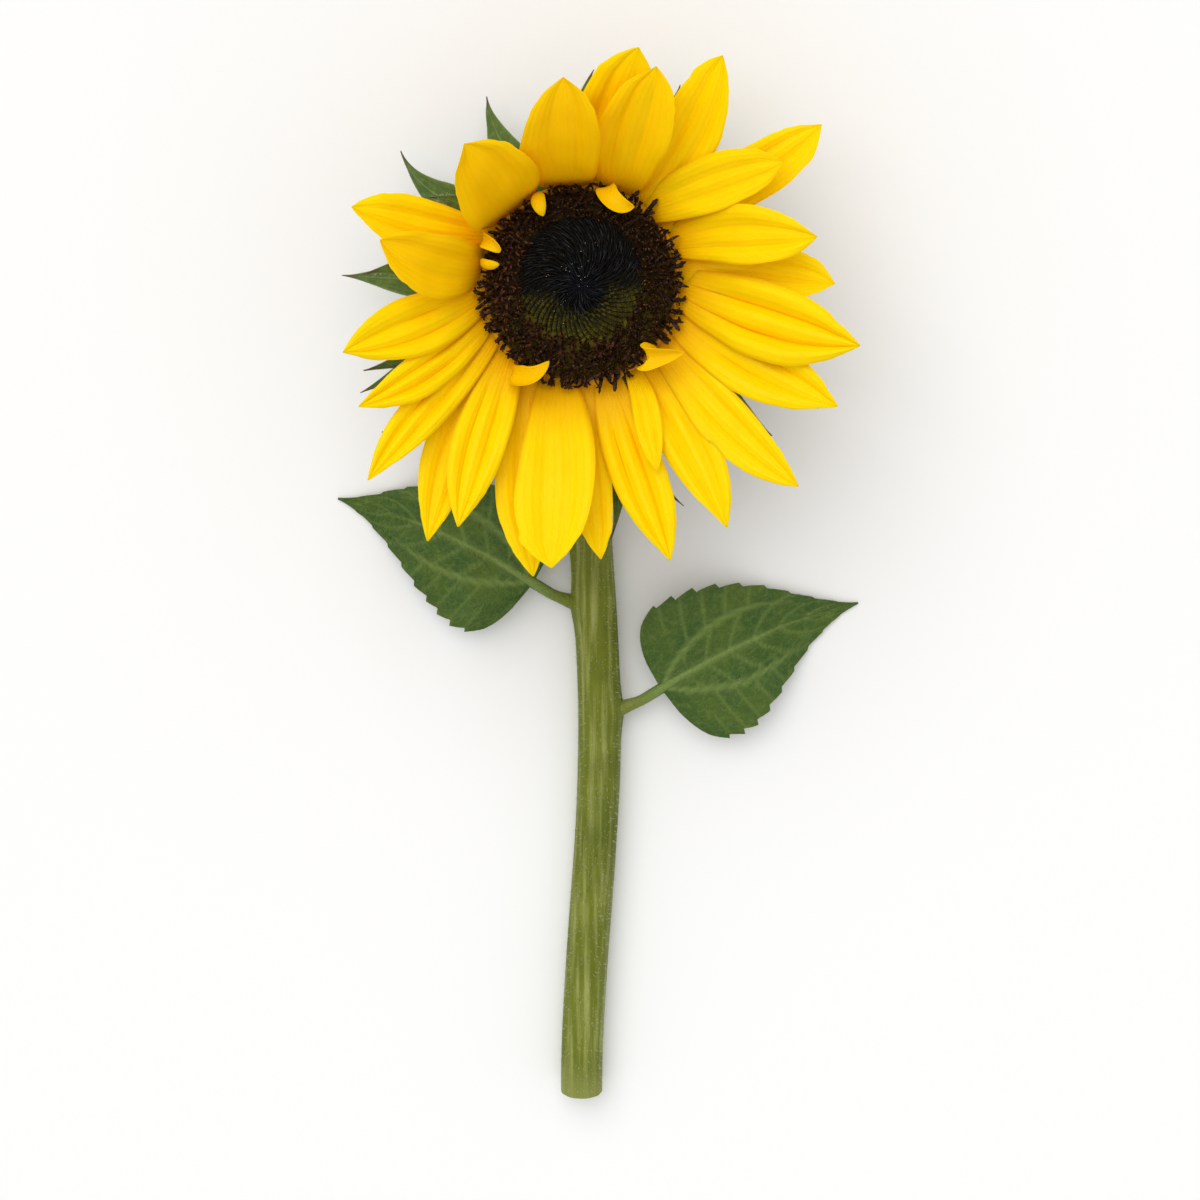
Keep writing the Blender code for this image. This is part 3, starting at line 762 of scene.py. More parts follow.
def grain(tree, scale, detail=3.0, stretch=(1, 1, 1)):
    """Soft noise between 0 and 1 over the piece's own coordinates."""
    place = object_coordinates(tree, stretch)
    inputs = {"Vector": place, "Scale": scale, "Detail": detail, "Roughness": 0.55}
    return node(tree, "ShaderNodeTexNoise", inputs).outputs[0]


def cells(tree, scale, feature="F1"):
    """Distances in a pattern of cells over the piece's own coordinates."""
    inputs = {"Vector": object_coordinates(tree), "Scale": scale}
    return node(tree, "ShaderNodeTexVoronoi", inputs, feature=feature).outputs[0]


def blade_coordinates(tree):
    """(along 0 to 1, across -1 to 1) on a blade, from its UV map."""
    flat = node(tree, "ShaderNodeUVMap", {}).outputs["UV"]
    parts = node(tree, "ShaderNodeSeparateXYZ", {"Vector": flat})
    return parts.outputs["X"], maths(tree, "MULTIPLY_ADD", parts.outputs["Y"], 2.0, -1.0)


def lengthwise_veins(tree, across, density, wander, sway):
    """A wave from -1 to 1 across a blade, for veins that run along it and sway."""
    lines = maths(tree, "ADD", times(tree, across, density), times(tree, wander, sway))
    return maths(tree, "SINE", lines)


def dress(tree, shader, base, relief=None, depth=0.0, strength=0.5, roughness=None):
    """Links the colour, the relief and the roughness to the shader."""
    tree.links.new(base, shader.inputs["Base Color"])
    if relief is not None:
        inputs = {"Height": relief, "Distance": depth, "Strength": strength}
        bump = node(tree, "ShaderNodeBump", inputs)
        tree.links.new(bump.outputs["Normal"], shader.inputs["Normal"])
    if roughness is not None:
        tree.links.new(roughness, shader.inputs["Roughness"])


# Materials

def petal_finish():
    """Thin yellow petal: amber painted shade at the root, in the creases, along the edges near the
    root and on the steep petals; fine veins and a faint mottle.
    """
    tone = colours()
    made, tree, shader = finish(
        "petal_yellow", 0.5, Subsurface_Weight=0.35, Subsurface_Scale=1.6 * MM,
        Subsurface_Radius=(1.0, 0.62, 0.05), Specular_IOR_Level=0.06)
    along, across = blade_coordinates(tree)
    fold = noted(tree, "fold")
    wander = grain(tree, 55)
    veins = lengthwise_veins(tree, across, 34.0, wander, 5.0)
    # Where deep painted shade falls: along the edges and in the creases
    edge = remap(tree, maths(tree, "ABSOLUTE", across), 0.84, 1.0)
    deep = maths(tree, "MAXIMUM", edge, remap(tree, fold, 0.2, 1.0))
    base = painted(
        # The base is the amber painted shade at the petal's root, which fades to yellow along it
        tree, tone.petal_root_shade,
        (remap(tree, along, 0.02, 0.42), tone.petal),
        # Painted shade in the creases, as far as the fold numbers reach
        (times(tree, fold, 0.60), tone.petal_vein_and_shade),
        (remap(tree, veins, 0.2, 1.0, 0.0, 0.16), tone.petal_vein_and_shade),
        # Painted shade on the steep petals, whose faces turn away from the light
        (times(tree, noted(tree, "warmth"), 0.55), tone.petal_vein_and_shade),
        (remap(tree, grain(tree, 140, 4), 0.35, 0.75, 0.0, 0.14), tone.petal_vein_and_shade),
        # Deep amber painted shade there, strongest near the root
        (times(tree, deep, remap(tree, along, 0.12, 0.80, 0.55, 0.0)), tone.petal_painted_shade))
    relief = maths(tree, "ADD", times(tree, veins, 0.5), grain(tree, 900, 2))
    roughness = remap(tree, wander, 0.3, 0.7, 0.42, 0.58)
    dress(tree, shader, base, relief, 0.12 * MM, 0.55, roughness)
    return made


def ring_finish():
    """Ring that the petals grow from: amber and brown painted shade above, green below."""
    tone = colours()
    made, tree, shader = finish("ring_amber", 0.6)
    mix = grain(tree, 300)
    base = painted(
        # The base is the petals' amber root shade, painted
        tree, tone.petal_root_shade,
        # Brown patches: more painted shade under the florets
        (remap(tree, mix, 0.35, 0.75), tone.floret_tube),
        (remap(tree, noted(tree, "height"), 0.3, 0.9, 0.9, 0.0), tone.bract_light))
    dress(tree, shader, base, mix, 0.2 * MM)
    return made


def disc_finish():
    """Skin of the disc under its florets: black in the middle, then olive on the painted lit side
    and painted shaded black elsewhere, then brown.
    """
    tone = colours()
    made, tree, shader = finish("disc_skin", 0.7, Specular_IOR_Level=0.05)
    outwards = noted(tree, "outwards")
    mix = grain(tree, 500)
    # Painted light: olive only on the lit side towards the stem; the rest stays painted shaded
    # black
    green = times(tree, remap(tree, outwards, 0.24, 0.36), noted(tree, "green"))
    flecks = times(
        tree, remap(tree, mix, 0.3, 0.7, 0.35, 0.95), remap(tree, outwards, 0.15, 0.4))
    base = painted(
        tree, tone.bristle,
        (green, tone.bud),
        (remap(tree, outwards, 0.58, 0.68, 0.0, 0.45), tone.floret_tube),
        (flecks, tone.bud_tip),
        # The disc's very edge takes on the petals' amber root shade, painted
        (remap(tree, outwards, 0.98, 0.995, 0.0, 0.25), tone.petal_root_shade))
    dress(tree, shader, base, mix, 0.4 * MM)
    return made


def bud_finish():
    """Closed florets: olive sides and dark tips, blacker towards the middle, and painted shaded
    black away from the lit side.
    """
    tone = colours()
    made, tree, shader = finish("bud_green", 0.55, Specular_IOR_Level=0.12)
    base = painted(
        tree, tone.bud,
        (remap(tree, noted(tree, "ripe"), 0.62, 1.0), tone.bud_tip),
        (remap(tree, noted(tree, "outwards"), 0.24, 0.50, 1.0, 0.0), tone.bristle),
        # Painted shade: the draw numbers turn buds away from the lit side black
        (times(tree, noted(tree, "draw"), 0.97), tone.bristle))
    dress(tree, shader, base, grain(tree, 1500, 2), 0.2 * MM)
    return made


def bristle_finish():
    """Dark pointed scales between the closed florets, with a blue-black sheen, and a blue-grey
    sheen painted on some of them.
    """
    tone = colours()
    made, tree, shader = finish("bristle_black", 0.3, Specular_IOR_Level=0.45)
    draw, ripe = noted(tree, "draw"), noted(tree, "ripe")
    # Painted sheen on the outer part of scales picked at random
    sheen = times(tree, remap(tree, draw, 0.45, 1.0), remap(tree, ripe, 0.3, 0.8))
    base = painted(
        tree, tone.bud_tip,
        (remap(tree, ripe, 0.0, 0.6), tone.bristle),
        (sheen, tone.bristle_painted_sheen))
    dress(tree, shader, base, grain(tree, 2000, 2), 0.1 * MM)
    return made


def floret_finish():
    """Open florets: brown tubes, near-black throats and maroon curled branches with red tips,
    painted lighter on the lit side, and tan flecks.
    """
    tone = colours()
    made, tree, shader = finish("floret_maroon", 0.45, Specular_IOR_Level=0.16)
    draw, ripe = noted(tree, "draw"), noted(tree, "ripe")
    mix = grain(tree, 1800, 2)
    # The red tips: their own colour, painted lighter on the lit side through the draw numbers
    light = times(tree, remap(tree, ripe, 0.62, 0.98), remap(tree, draw, 0.35, 0.85))
    flecks = times(tree, remap(tree, mix, 0.58, 0.72, 0.0, 0.8), remap(tree, ripe, 0.45, 0.7))
    base = painted(
        tree, tone.bud_tip,
        (remap(tree, ripe, 0.05, 0.32), tone.floret_tube),
        (remap(tree, ripe, 0.34, 0.48), tone.floret),
        (light, tone.floret_red_and_lit),
        (flecks, tone.floret_dry))
    dress(tree, shader, base, mix, 0.1 * MM, 0.5, remap(tree, mix, 0.3, 0.7, 0.4, 0.65))
    return made


def pollen_finish():
    """Pale pollen grains."""
    tone = colours()
    made, tree, shader = finish("pollen_pale", 0.5)
    mix = grain(tree, 4000, 2)
    dress(tree, shader, blend(tree, mix, tone.pollen, tone.pollen_light), mix, 0.05 * MM)
    return made


def stem_finish():
    """Olive stem with paler lengthwise streaks, darker flecks and a rough skin."""
    tone = colours()
    made, tree, shader = finish(
        "stem_green", 0.52, Subsurface_Weight=0.08, Subsurface_Scale=2 * MM)
    streaks = grain(tree, 1.0, 5, (520, 26, 520))
    clouds = grain(tree, 38, 4)
    flecks = grain(tree, 1.0, 3, (900, 420, 900))
    base = painted(
        tree, tone.stem,
        (remap(tree, streaks, 0.42, 0.72), tone.stem_light),
        (remap(tree, clouds, 0.4, 0.75, 0.0, 0.5), tone.stem_dark),
        (remap(tree, flecks, 0.58, 0.78, 0.0, 0.6), tone.stem_dark),
        (remap(tree, noted(tree, "along"), 0.0, 0.05, 0.55, 0.0), tone.stem_light))
    relief = maths(tree, "ADD", streaks, times(tree, flecks, 0.6))
    roughness = remap(tree, clouds, 0.3, 0.7, 0.45, 0.65)
    dress(tree, shader, base, relief, 0.5 * MM, 0.6, roughness)
    return made


def pith_finish():
    """The cut end: pale spongy pith with a greener rim."""
    tone = colours()
    made, tree, shader = finish(
        "pith_pale", 0.75, Subsurface_Weight=0.2, Subsurface_Scale=2 * MM)
    pores = cells(tree, 1400.0)
    base = painted(
        tree, tone.pith,
        (remap(tree, pores, 0.1, 0.8), tone.stem_light),
        (remap(tree, noted(tree, "rim"), 0.3, 1.0), tone.stem))
    dress(tree, shader, base, pores, 0.3 * MM)
    return made


def hair_finish():
    """Pale hairs with paler tips."""
    tone = colours()
    made, tree, shader = finish("hair_pale", 0.45, Subsurface_Weight=0.2, Subsurface_Scale=MM)
    base = blend(tree, noted(tree, "ripe"), tone.hair, tone.hair_tip)
    dress(tree, shader, base, grain(tree, 3000, 1), 0.02 * MM)
    return made


def bract_finish():
    """Green bracts: paler veins and edges, a withered brown tip and a velvety skin."""
    tone = colours()
    made, tree, shader = finish(
        "bract_green", 0.58, Subsurface_Weight=0.12, Subsurface_Scale=1.5 * MM, Sheen_Weight=0.2)
    along, across = blade_coordinates(tree)
    wander = grain(tree, 90)
    veins = remap(tree, lengthwise_veins(tree, across, 17.0, wander, 4.0), 0.5, 1.0)
    apart = maths(tree, "ABSOLUTE", across)
    middle = remap(tree, apart, 0.0, 0.12, 1.0, 0.0)
    edge = remap(tree, apart, 0.82, 1.0, 0.0, 0.75)
    base = painted(
        tree, tone.bract,
        (remap(tree, wander, 0.35, 0.75), tone.leaf),
        (times(tree, veins, 0.14), tone.bract_light),
        (remap(tree, grain(tree, 420, 4), 0.4, 0.8, 0.0, 0.35), tone.bract_light),
        (times(tree, maths(tree, "MAXIMUM", middle, edge), 0.5), tone.bract_light),
        (remap(tree, along, 0.86, 0.99), tone.bract_tip))
    relief = maths(tree, "ADD", times(tree, veins, 0.5), grain(tree, 700, 4))
    dress(tree, shader, base, relief, 0.4 * MM, 0.7)
    return made


def cup_finish():
    """Skin of the cup between the bracts."""
    tone = colours()
    made, tree, shader = finish(
        "cup_green", 0.6, Subsurface_Weight=0.08, Subsurface_Scale=1.5 * MM)
    clouds = remap(tree, grain(tree, 120, 4), 0.35, 0.7)
    base = blend(tree, clouds, tone.bract, tone.bract_light)
    dress(tree, shader, base, grain(tree, 900, 3), 0.3 * MM)
    return made


def leaf_finish():
    """Deep green leaf with a paler network of veins."""
    tone = colours()
    made, tree, shader = finish(
        "leaf_green", 0.5, Subsurface_Weight=0.1, Subsurface_Scale=1.5 * MM, Sheen_Weight=0.12)
    net = remap(tree, cells(tree, 430.0, "DISTANCE_TO_EDGE"), 0.0, 0.16, 1.0, 0.0)
    clouds = grain(tree, 70, 4)
    stem_green = blend(
        tree, remap(tree, clouds, 0.45, 0.8, 0.0, 0.4), tone.stem, tone.stem_light)
    base = painted(
        tree, tone.leaf,
        (remap(tree, clouds, 0.35, 0.75), tone.bract),
        (remap(tree, grain(tree, 480, 4), 0.45, 0.85, 0.0, 0.3), tone.leaf_vein),
        (times(tree, net, 0.12), tone.leaf_vein),
        (noted(tree, "vein"), tone.leaf_vein),
        (noted(tree, "foot"), stem_green))
    relief = maths(tree, "SUBTRACT", grain(tree, 700, 3), times(tree, net, 0.8))
    roughness = remap(tree, clouds, 0.3, 0.7, 0.42, 0.6)
    dress(tree, shader, base, relief, 0.4 * MM, 0.6, roughness)
    return made


def floor_finish():
    """Matt pale floor."""
    tone = colours()
    made, tree, shader = finish("floor_pale", 0.9, Specular_IOR_Level=0.1)
    clouds = remap(tree, grain(tree, 3), 0.3, 0.7, 0.0, 0.06)
    dress(tree, shader, blend(tree, clouds, tone.floor, tone.floor_light))
    return made


# Stem

def stem_stations():
    """Centres and radii from the cut end, round the bend of the neck and up to the cup."""
    size = sizes()
    start = neck_bend_start()
    stations = []
    for step in range(STEM_STEPS):
        stations.append((stem_centre(step / STEM_STEPS, start, size), size.stem_radius))
    for step in range(NECK_STEPS):
        stations.append((start + neck_way(neck_bend() * step / NECK_STEPS), size.stem_radius))
    top, axis = neck_top(), head_axis()
    for step in range(FLARE_STEPS + 1):
        part = step / FLARE_STEPS
        radius = size.stem_radius + (size.neck_top_radius - size.stem_radius) * part ** 2
        stations.append((top - axis * size.neck_straight * (1 - part), radius))
    return stations


def make_stem():
    """The stem with faint ribs, swellings and a recessed pale pith at its cut end."""
    size = sizes()
    stations = stem_stations()
    leaf_roots = []
    for side, along, _, _ in LEAVES.values():
        leaf_roots.append((side, stem_centre(along, neck_bend_start(), size).y))

    def skin(step, angle):
        round_about = Vector((math.cos(angle), math.sin(angle), step * 0.05))
        ribs = 0.012 * math.cos(9 * angle + 2.5 * noise.noise(Vector((0, 0, step * 0.02))))
        swell = 0.0
        for side, root_y in leaf_roots:
            near = math.exp(-((stations[step][0].y - root_y - MM) / (6 * MM)) ** 2)
            swell += 0.15 * near * max(0.0, side * math.cos(angle)) ** 2
        return 0.982 + ribs + 0.022 * noise.noise(round_about * 1.4) + swell

    stem = tube("stem_skin", stations, STEM_SIDES, skin)
    for vert in stem.data.vertices:
        vert.co.z = max(vert.co.z, 0.0)
    cut_y = min(vert.co.y for vert in stem.data.vertices)

    def on_cut(face):
        return len(face.verts) > 4 and face.calc_center_median().y < cut_y + MM

    select_in_edit(stem, "FACE", on_cut)
    bpy.ops.mesh.inset(thickness=0.10 * size.stem_radius, depth=0)
    bpy.ops.mesh.inset(thickness=0.12 * size.stem_radius, depth=-0.35 * MM)
    bpy.ops.mesh.inset(thickness=0.35 * size.stem_radius, depth=-0.25 * MM)
    leave_edit()
    middle = stations[0][0]
    apart = [(vert.co - middle).length / size.stem_radius for vert in stem.data.vertices]
    note(stem, "rim", [smooth_step(0.55, 0.95, distance) for distance in apart])
    smooth(stem, 40)
    carry(stem, "stem", "stem_green", stem_finish(), pith_finish())
    for polygon in stem.data.polygons:
        if polygon.normal.y < -0.5 and polygon.center.y < cut_y + MM:
            polygon.material_index = 1


def make_stem_hairs():
    """Short pale hairs, standing out of the stem all round but for its underside."""
    size = sizes()
    draw = random.Random(SEEDS["stem_hairs"])
    stations = stem_stations()
    places = []
    while len(places) < size.stem_hairs:
        step = draw.randrange(1, len(stations) - 1)
        centre, radius = stations[step]
        tangent = (stations[step + 1][0] - stations[step - 1][0]).normalized()
        spot = centre + (stations[step + 1][0] - centre) * draw.random()
        way = Vector((draw.gauss(0, 1), draw.gauss(0, 1), draw.gauss(0, 1)))
        way = (way - tangent * way.dot(tangent)).normalized()
        lean = way + tangent * draw.uniform(-0.5, 0.5) + Vector((draw.gauss(0, 0.2), 0, 0))
        lean.normalize()
        root = spot + way * radius * 0.965
        long = size.hair_length * draw.uniform(0.35, 1.0)
        if (root + lean * long).z > 0.2 * MM:
            places.append((0, standing(root, lean, 0, long), draw.random()))
    plant_hairs("stem_hairs", places, "stem", "stem_green")


# Green cup and bracts

def bract_half_width(along, width):
    """Half the width of a bract: broad and egg-shaped near its root, then a long thin tip."""
    fullest = 0.385
    return 0.5 * width * (along + 0.10) ** 0.45 * (1 - along) ** 1.5 / fullest + 0.12 * MM


def share_above_surface(reach, start, end, root, to_world, clearance):
    """The share of a bract's length after which its middle line would sink into the surface."""
    for percent in range(100, 0, -1):
        out, up = arc_centreline(reach, start, end, percent / 100)
        if (to_world @ Vector((root[0] + out, 0, root[1] + up))).z > clearance:
            return percent / 100
    return 1.0


def bract_surface(matrix, root, row, draw):
    """The middle surface of a bract: keeled, faintly veined and waved along its edges.

    It doesn't sink into the surface that the flower lies on.
    """
    size = sizes()
    azimuth, long, width, root_lift, tip_lift = row
    root_radius, root_height = root
    turn = Matrix.Rotation(math.radians(azimuth), 4, "Z")
    reach = long * MM + size.cup_radius - root_radius
    start, end = math.radians(root_lift), math.radians(tip_lift)
    wave, curl = draw.uniform(*ANY_TURN), draw.uniform(-7, 7) * MM
    seed = Vector((draw.uniform(0, 50), 0, 0))
    hollow, thickness = size.bract_hollow, size.bract_thickness
    kept = share_above_surface(reach, start, end, root, matrix @ turn, thickness)

    def place(along, across):
        out, up = arc_centreline(reach, start, end, along * kept)
        half = bract_half_width(along, width * MM)
        lift = start + (end - start) * along * kept
        broad = min(1.0, half / (3 * MM))
        rise = hollow * half * across ** 2
        rise -= 0.45 * MM * math.exp(-(across / 0.16) ** 2) * (1 - along)
        rise += 0.07 * MM * math.cos(17 * across) * (1 - along)
        ripple = abs(across) ** 1.5 * math.sin(wave + 9 * along + 1.4 * across)
        ripple *= smooth_step(0.1, 0.5, along)
        rise += 0.9 * MM * broad * ripple
        crumple = noise.noise(seed + Vector((along * 7, across * 1.3 * broad, 0)))
        rise += 0.9 * MM * crumple * smooth_step(0.05, 0.3, along)
        sideways = half * across + curl * max(0.0, along - 0.6) ** 2 * 6
        outwards = root_radius + out - rise * math.sin(lift)
        height = root_height + up + rise * math.cos(lift)
        point = matrix @ turn @ Vector((outwards, sideways, height))
        point.z = max(point.z, thickness / 2)
        return point

    return place


def make_bract_cup():
    """The green cup under the head, its three rows of bracts and their hairs."""
    size = sizes()
    draw = random.Random(SEEDS["bracts"])
    matrix = head_matrix()
    rims = [(size.neck_top_radius, -size.cup_depth), (14 * MM, -18.4 * MM)] + CUP_SIDE
    rims += [(size.cup_radius - 0.3 * MM, -1.0 * MM), (size.cup_radius - 0.9 * MM, -size.gap)]
    cup = turned("green_cup", rims, RING_SEGMENTS)
    for vert in cup.data.vertices:
        knob = 1 + 0.02 * noise.noise(vert.co * 260) if vert.co.z < -MM else 1
        vert.co.xy *= knob
    cup.data.transform(matrix)
    smooth(cup, 50)
    carry(cup, "bract_cup", "bract_green", cup_finish())
    bracts, hairs = [], []
    for root, rows in BRACT_ROWS.values():
        for row in rows:
            place = bract_surface(matrix, root, row, draw)
            bracts.append(blade("bract", *BRACT_GRID, size.bract_thickness, place, 0.5))
            hairs += blade_hairs(place, draw, size.hair_length, size.bract_hairs, 0.12)
    bracts = joined("bracts", bracts)
    smooth(bracts, 50)
    carry(bracts, "bract_cup", "bract_green", bract_finish())
    plant_hairs("bract_hairs", hairs, "bract_cup", "bract_green")


def blade_hairs(place, draw, hair_length, count, first):
    """Hairs on a bract or leaf beyond the first share of its length, two in three on its edges."""
    hairs = []
    for turn in range(count):
        along = draw.uniform(first, 0.92)
        across = draw.choice((-1, 1)) if turn % 3 else draw.uniform(-0.9, 0.9)
        spot = place(along, across)
        inner = place(along, across * 0.8)
        ahead = place(along + 0.02, across)
        outwards = (spot - inner).normalized() if abs(across) == 1 else Vector((0, 0, 0))
        onwards = (ahead - spot).normalized()
        over = (ahead - spot).cross(place(along, across + 0.05) - spot).normalized()
        way = outwards + over * draw.uniform(-0.6, 0.9) + onwards * draw.uniform(-0.2, 0.7)
        if way.length < 0.2:
            continue
        long = hair_length * draw.uniform(0.3, 0.75)
        way.normalize()
        if min(spot.z, (spot + way * long).z) > 0.4 * MM:
            hairs.append((0, standing(spot, way, 0, long), draw.random()))
    return hairs


# Ray petals

def petal_half_width(along, width, root_lift, fold):
    """Half the width of a ray petal: its claw, a full blade and a straight-sided pointed tip.

    The steep petals are broad right from the root, and the sharply folded ones have long thin tips.
    """
    power = 0.6 - 0.16 * smooth_step(46, 78, root_lift)
    blunt = 4 - smooth_step(0.5, 1.0, fold)
    widest = (power / (power + blunt)) ** (power / blunt) * blunt / (power + blunt)
    full = along ** power * (1 - along ** blunt) / widest
    full *= 1 - 0.28 * smooth_step(0.5, 1.2, fold) * smooth_step(0.70, 0.97, along)
    full *= 1 + 0.22 * smooth_step(0.72, 0.95, along)
    claw = 0.7 * MM + 0.10 * width
    return 0.5 * width * full + claw * (1 - along) ** 4 + 0.15 * MM


def petal_turn(across, root_azimuth):
    """The phase of a petal's pleats across its blade: three panels, shifted to one side."""
    shift = 0.10 * math.sin(37 * root_azimuth)
    return 1.5 * math.pi * (across + shift * (1 - across ** 2))


def petal_crease_shade(row, along, across):
    """How deep in a crease a point of a petal is, for the shade painted there; each crease comes
    and goes along the petal.
    """
    root_azimuth, fold = row[0], row[-1]
    near = 1 - smooth_step(0.0, 0.30, abs(math.cos(petal_turn(across, root_azimuth))))
    comes = 0.55 + 0.8 * noise.noise(Vector((along * 3.2, math.copysign(3, across), root_azimuth)))
    return fold * near * max(0.0, comes) * (1 - 0.75 * smooth_step(0.1, 0.95, along))


def petal_surface(matrix, row, draw):
    """The middle surface of a ray petal: hollow, pleated in three panels, with waved edges."""
    size = sizes()
    root_azimuth, tip_azimuth, reach, width, root_lift, tip_lift, bow, fold = row
    start, end = math.radians(root_lift), math.radians(tip_lift)
    root = polar(size.petal_root_radius - size.petal_root_sink * math.cos(start) ** 2, root_azimuth)
    way = polar(reach * MM, tip_azimuth) - root
    heading = way.normalized()
    side = turned_left(heading)
    whole = way.length / arc_centreline(1.0, start, end, 1.0)[0]
    hollow = size.petal_hollow * (1 + 0.5 * smooth_step(40, 80, root_lift))
    pleat, foot = size.petal_pleat, size.petal_root_height
    wave, ripple = draw.uniform(*ANY_TURN), size.petal_ripple * draw.uniform(0.4, 1.0)
    twist = math.radians(draw.uniform(-7, 7))
    seed = Vector((draw.uniform(0, 50), 0, 0))
    skew = draw.uniform(-0.26, 0.26)

    def place(along, across):
        out, up = arc_centreline(whole, start, end, along)
        lift = start + (end - start) * along
        half = petal_half_width(along ** (1 + skew * across), width * MM, root_lift, fold)
        half *= 1 + 0.04 * noise.noise(seed + Vector((0, along * 5, math.copysign(2, across))))
        ragged = noise.noise(seed + Vector((9, along * 20, math.copysign(2, across))))
        half *= 1 + 0.11 * ragged * smooth_step(0.70, 0.9, along)
        full = smooth_step(0.1, 0.45, along)
        turn = petal_turn(across, root_azimuth)
        pleats = 0.25 * math.cos(2 * turn) + 1.1 * (abs(math.cos(turn)) ** 0.5 - 0.7)
        rise = half * full * (hollow * across ** 2 + pleat * fold * pleats)
        broad = min(1.0, half / (4 * MM))
        rise += ripple * full * broad * abs(across) ** 3 * math.sin(wave + 9 * along + across)
        rise += half * across * math.sin(twist) * along
        rise += 0.55 * MM * noise.noise(seed + Vector((along * 5, across * 1.6 * broad, 0))) * full
        out -= rise * math.sin(lift)
        up += rise * math.cos(lift)
        sideways = half * across + 4 * bow * MM * along * (1 - along)
        return matrix @ (root + heading * out + side * sideways + Vector((0, 0, foot + up)))

    return place


def curled_ray_surface(matrix, points, beside, width, trough):
    """The middle surface of a stunted ray: a trough that rises from the ring and curls over."""
    corners = [Vector(point) * MM for point in points]
    weights = (1, 3, 3, 1)
    beside = Vector(beside).normalized()

    def line(along):
        spot = Vector()
        for power, (weight, corner) in enumerate(zip(weights, corners)):
            spot += weight * corner * along ** power * (1 - along) ** (3 - power)
        return spot

    def place(along, across):
        tangent = (line(along + 0.01) - line(along - 0.01)).normalized()
        over = tangent.cross(beside).normalized()
        flat = over.cross(tangent)
        half = 0.5 * width * MM * (0.3 + 0.7 * smooth_step(0.05, 0.5, along))
        half = half * (1 - along ** 6) ** 0.7 + 0.1 * MM
        rise = trough * half * (across ** 2 - 0.4) * smooth_step(0.1, 0.5, along)
        return matrix @ (line(along) + flat * half * across + over * rise)

    return place


def make_ray_petals():
    """The ring that the petals grow from, the ray petals and the stunted rays at the disc's rim."""
    size = sizes()
    draw = random.Random(SEEDS["petals"])
    matrix = head_matrix()
    outer, top, chamfer = size.ring_outer_radius, size.ring_height, 0.4 * MM
    wall = [(outer - chamfer, 0), (outer, chamfer), (outer, top - chamfer), (outer - chamfer, top)]
    ring = turned("petal_ring", wall, RING_SEGMENTS)
    note(ring, "height", [vert.co.z / top for vert in ring.data.vertices])
    ring.data.transform(matrix)
    smooth(ring, 50)
    carry(ring, "ray_petals", "petal_yellow", ring_finish())
    petals = []
    for row in PETALS:
        place = petal_surface(matrix, row, draw)
        petal = blade("petal", *PETAL_GRID, size.petal_thickness, place)
        root_lift = row[4]
        # Painted shade: the steeper a petal stands, the more shade is painted on it
        note_all(petal, "warmth", smooth_step(36, 84, root_lift))
        # Notes where the painted crease shade falls, as fold
        note_on_blade(petal, "fold", lambda along, across: petal_crease_shade(row, along, across))
        petals.append(petal)
    for row in CURLED_RAYS:
        place = curled_ray_surface(matrix, *row)
        petal = blade("curled_ray", *CURLED_RAY_GRID, size.petal_thickness, place)
        # Painted shade: the curled rays are painted fully shaded
        note_all(petal, "warmth", 1.0)
        note_all(petal, "fold", 0.0)
        petals.append(petal)
    petals = joined("petals", petals)
    smooth(petals, 60)
    carry(petals, "ray_petals", "petal_yellow", petal_finish())


# Disc

def dish_height(radius, size):
    """Height of the disc's surface under its florets: a shallow dish with a rounded rim."""
    part = radius / size.disc_radius
    rise = size.dish_rise * smooth_step(0.1, 0.75, part)
    return size.dish_centre_height + rise - size.dish_rim_drop * smooth_step(0.86, 1.0, part)


def floret_spots():
    """(radius, azimuth) of each floret on the golden spiral, in radians."""
    size = sizes()
    reach = size.disc_radius - 1.4 * MM
    count = size.floret_count
    return [(reach * math.sqrt((n + 0.5) / count), n * GOLDEN_ANGLE) for n in range(count)]


def lit_side_share(angle):
    """How green the dish is in this direction, as painted light: the side towards the stem is
    painted lit and olive, the far side painted shaded black.
    """
    return 1 - smooth_step(-0.4, 0.2, math.sin(angle - 0.12))


def open_ring_at(angle):
    """Inner radius of the open florets' ring, which is broadest towards the stem."""
    return sizes().open_ring_radius + 2.2 * MM * math.sin(angle)


def note_outwards(piece, matrix):
    """Notes how far each vertex is from the head's axis, as a share of the disc's radius."""
    back = matrix.inverted()
    reach = sizes().disc_radius
    note(piece, "outwards", [(back @ vert.co).xy.length / reach for vert in piece.data.vertices])


def make_disc():
    """The disc's skin under its florets."""
    size = sizes()
    matrix = head_matrix()
    flange = size.ring_height + size.gap
    hub = size.ring_inner_radius - size.gap
    wall = [(hub, 0), (hub, flange), (size.disc_foot_radius, flange)]
    for step in range(DISC_RINGS):
        radius = size.disc_radius * (1 - step / DISC_RINGS)
        wall.append((radius, dish_height(radius, size)))
    disc = turned("disc_skin", wall, DISC_SEGMENTS)
    for vert in disc.data.vertices:
        if vert.co.z > flange + MM:
            vert.co.z += 0.25 * MM * noise.noise(vert.co * 700)
    disc.data.transform(matrix)
    note_outwards(disc, matrix)
    back = matrix.inverted()
    angles = [math.atan2(*(back @ vert.co).yx) for vert in disc.data.vertices]
    # Notes the painted lit side, where the skin shows olive
    note(disc, "green", [lit_side_share(angle) for angle in angles])
    smooth(disc, 50)
    carry(disc, "disc_florets", "disc_brown", disc_finish())


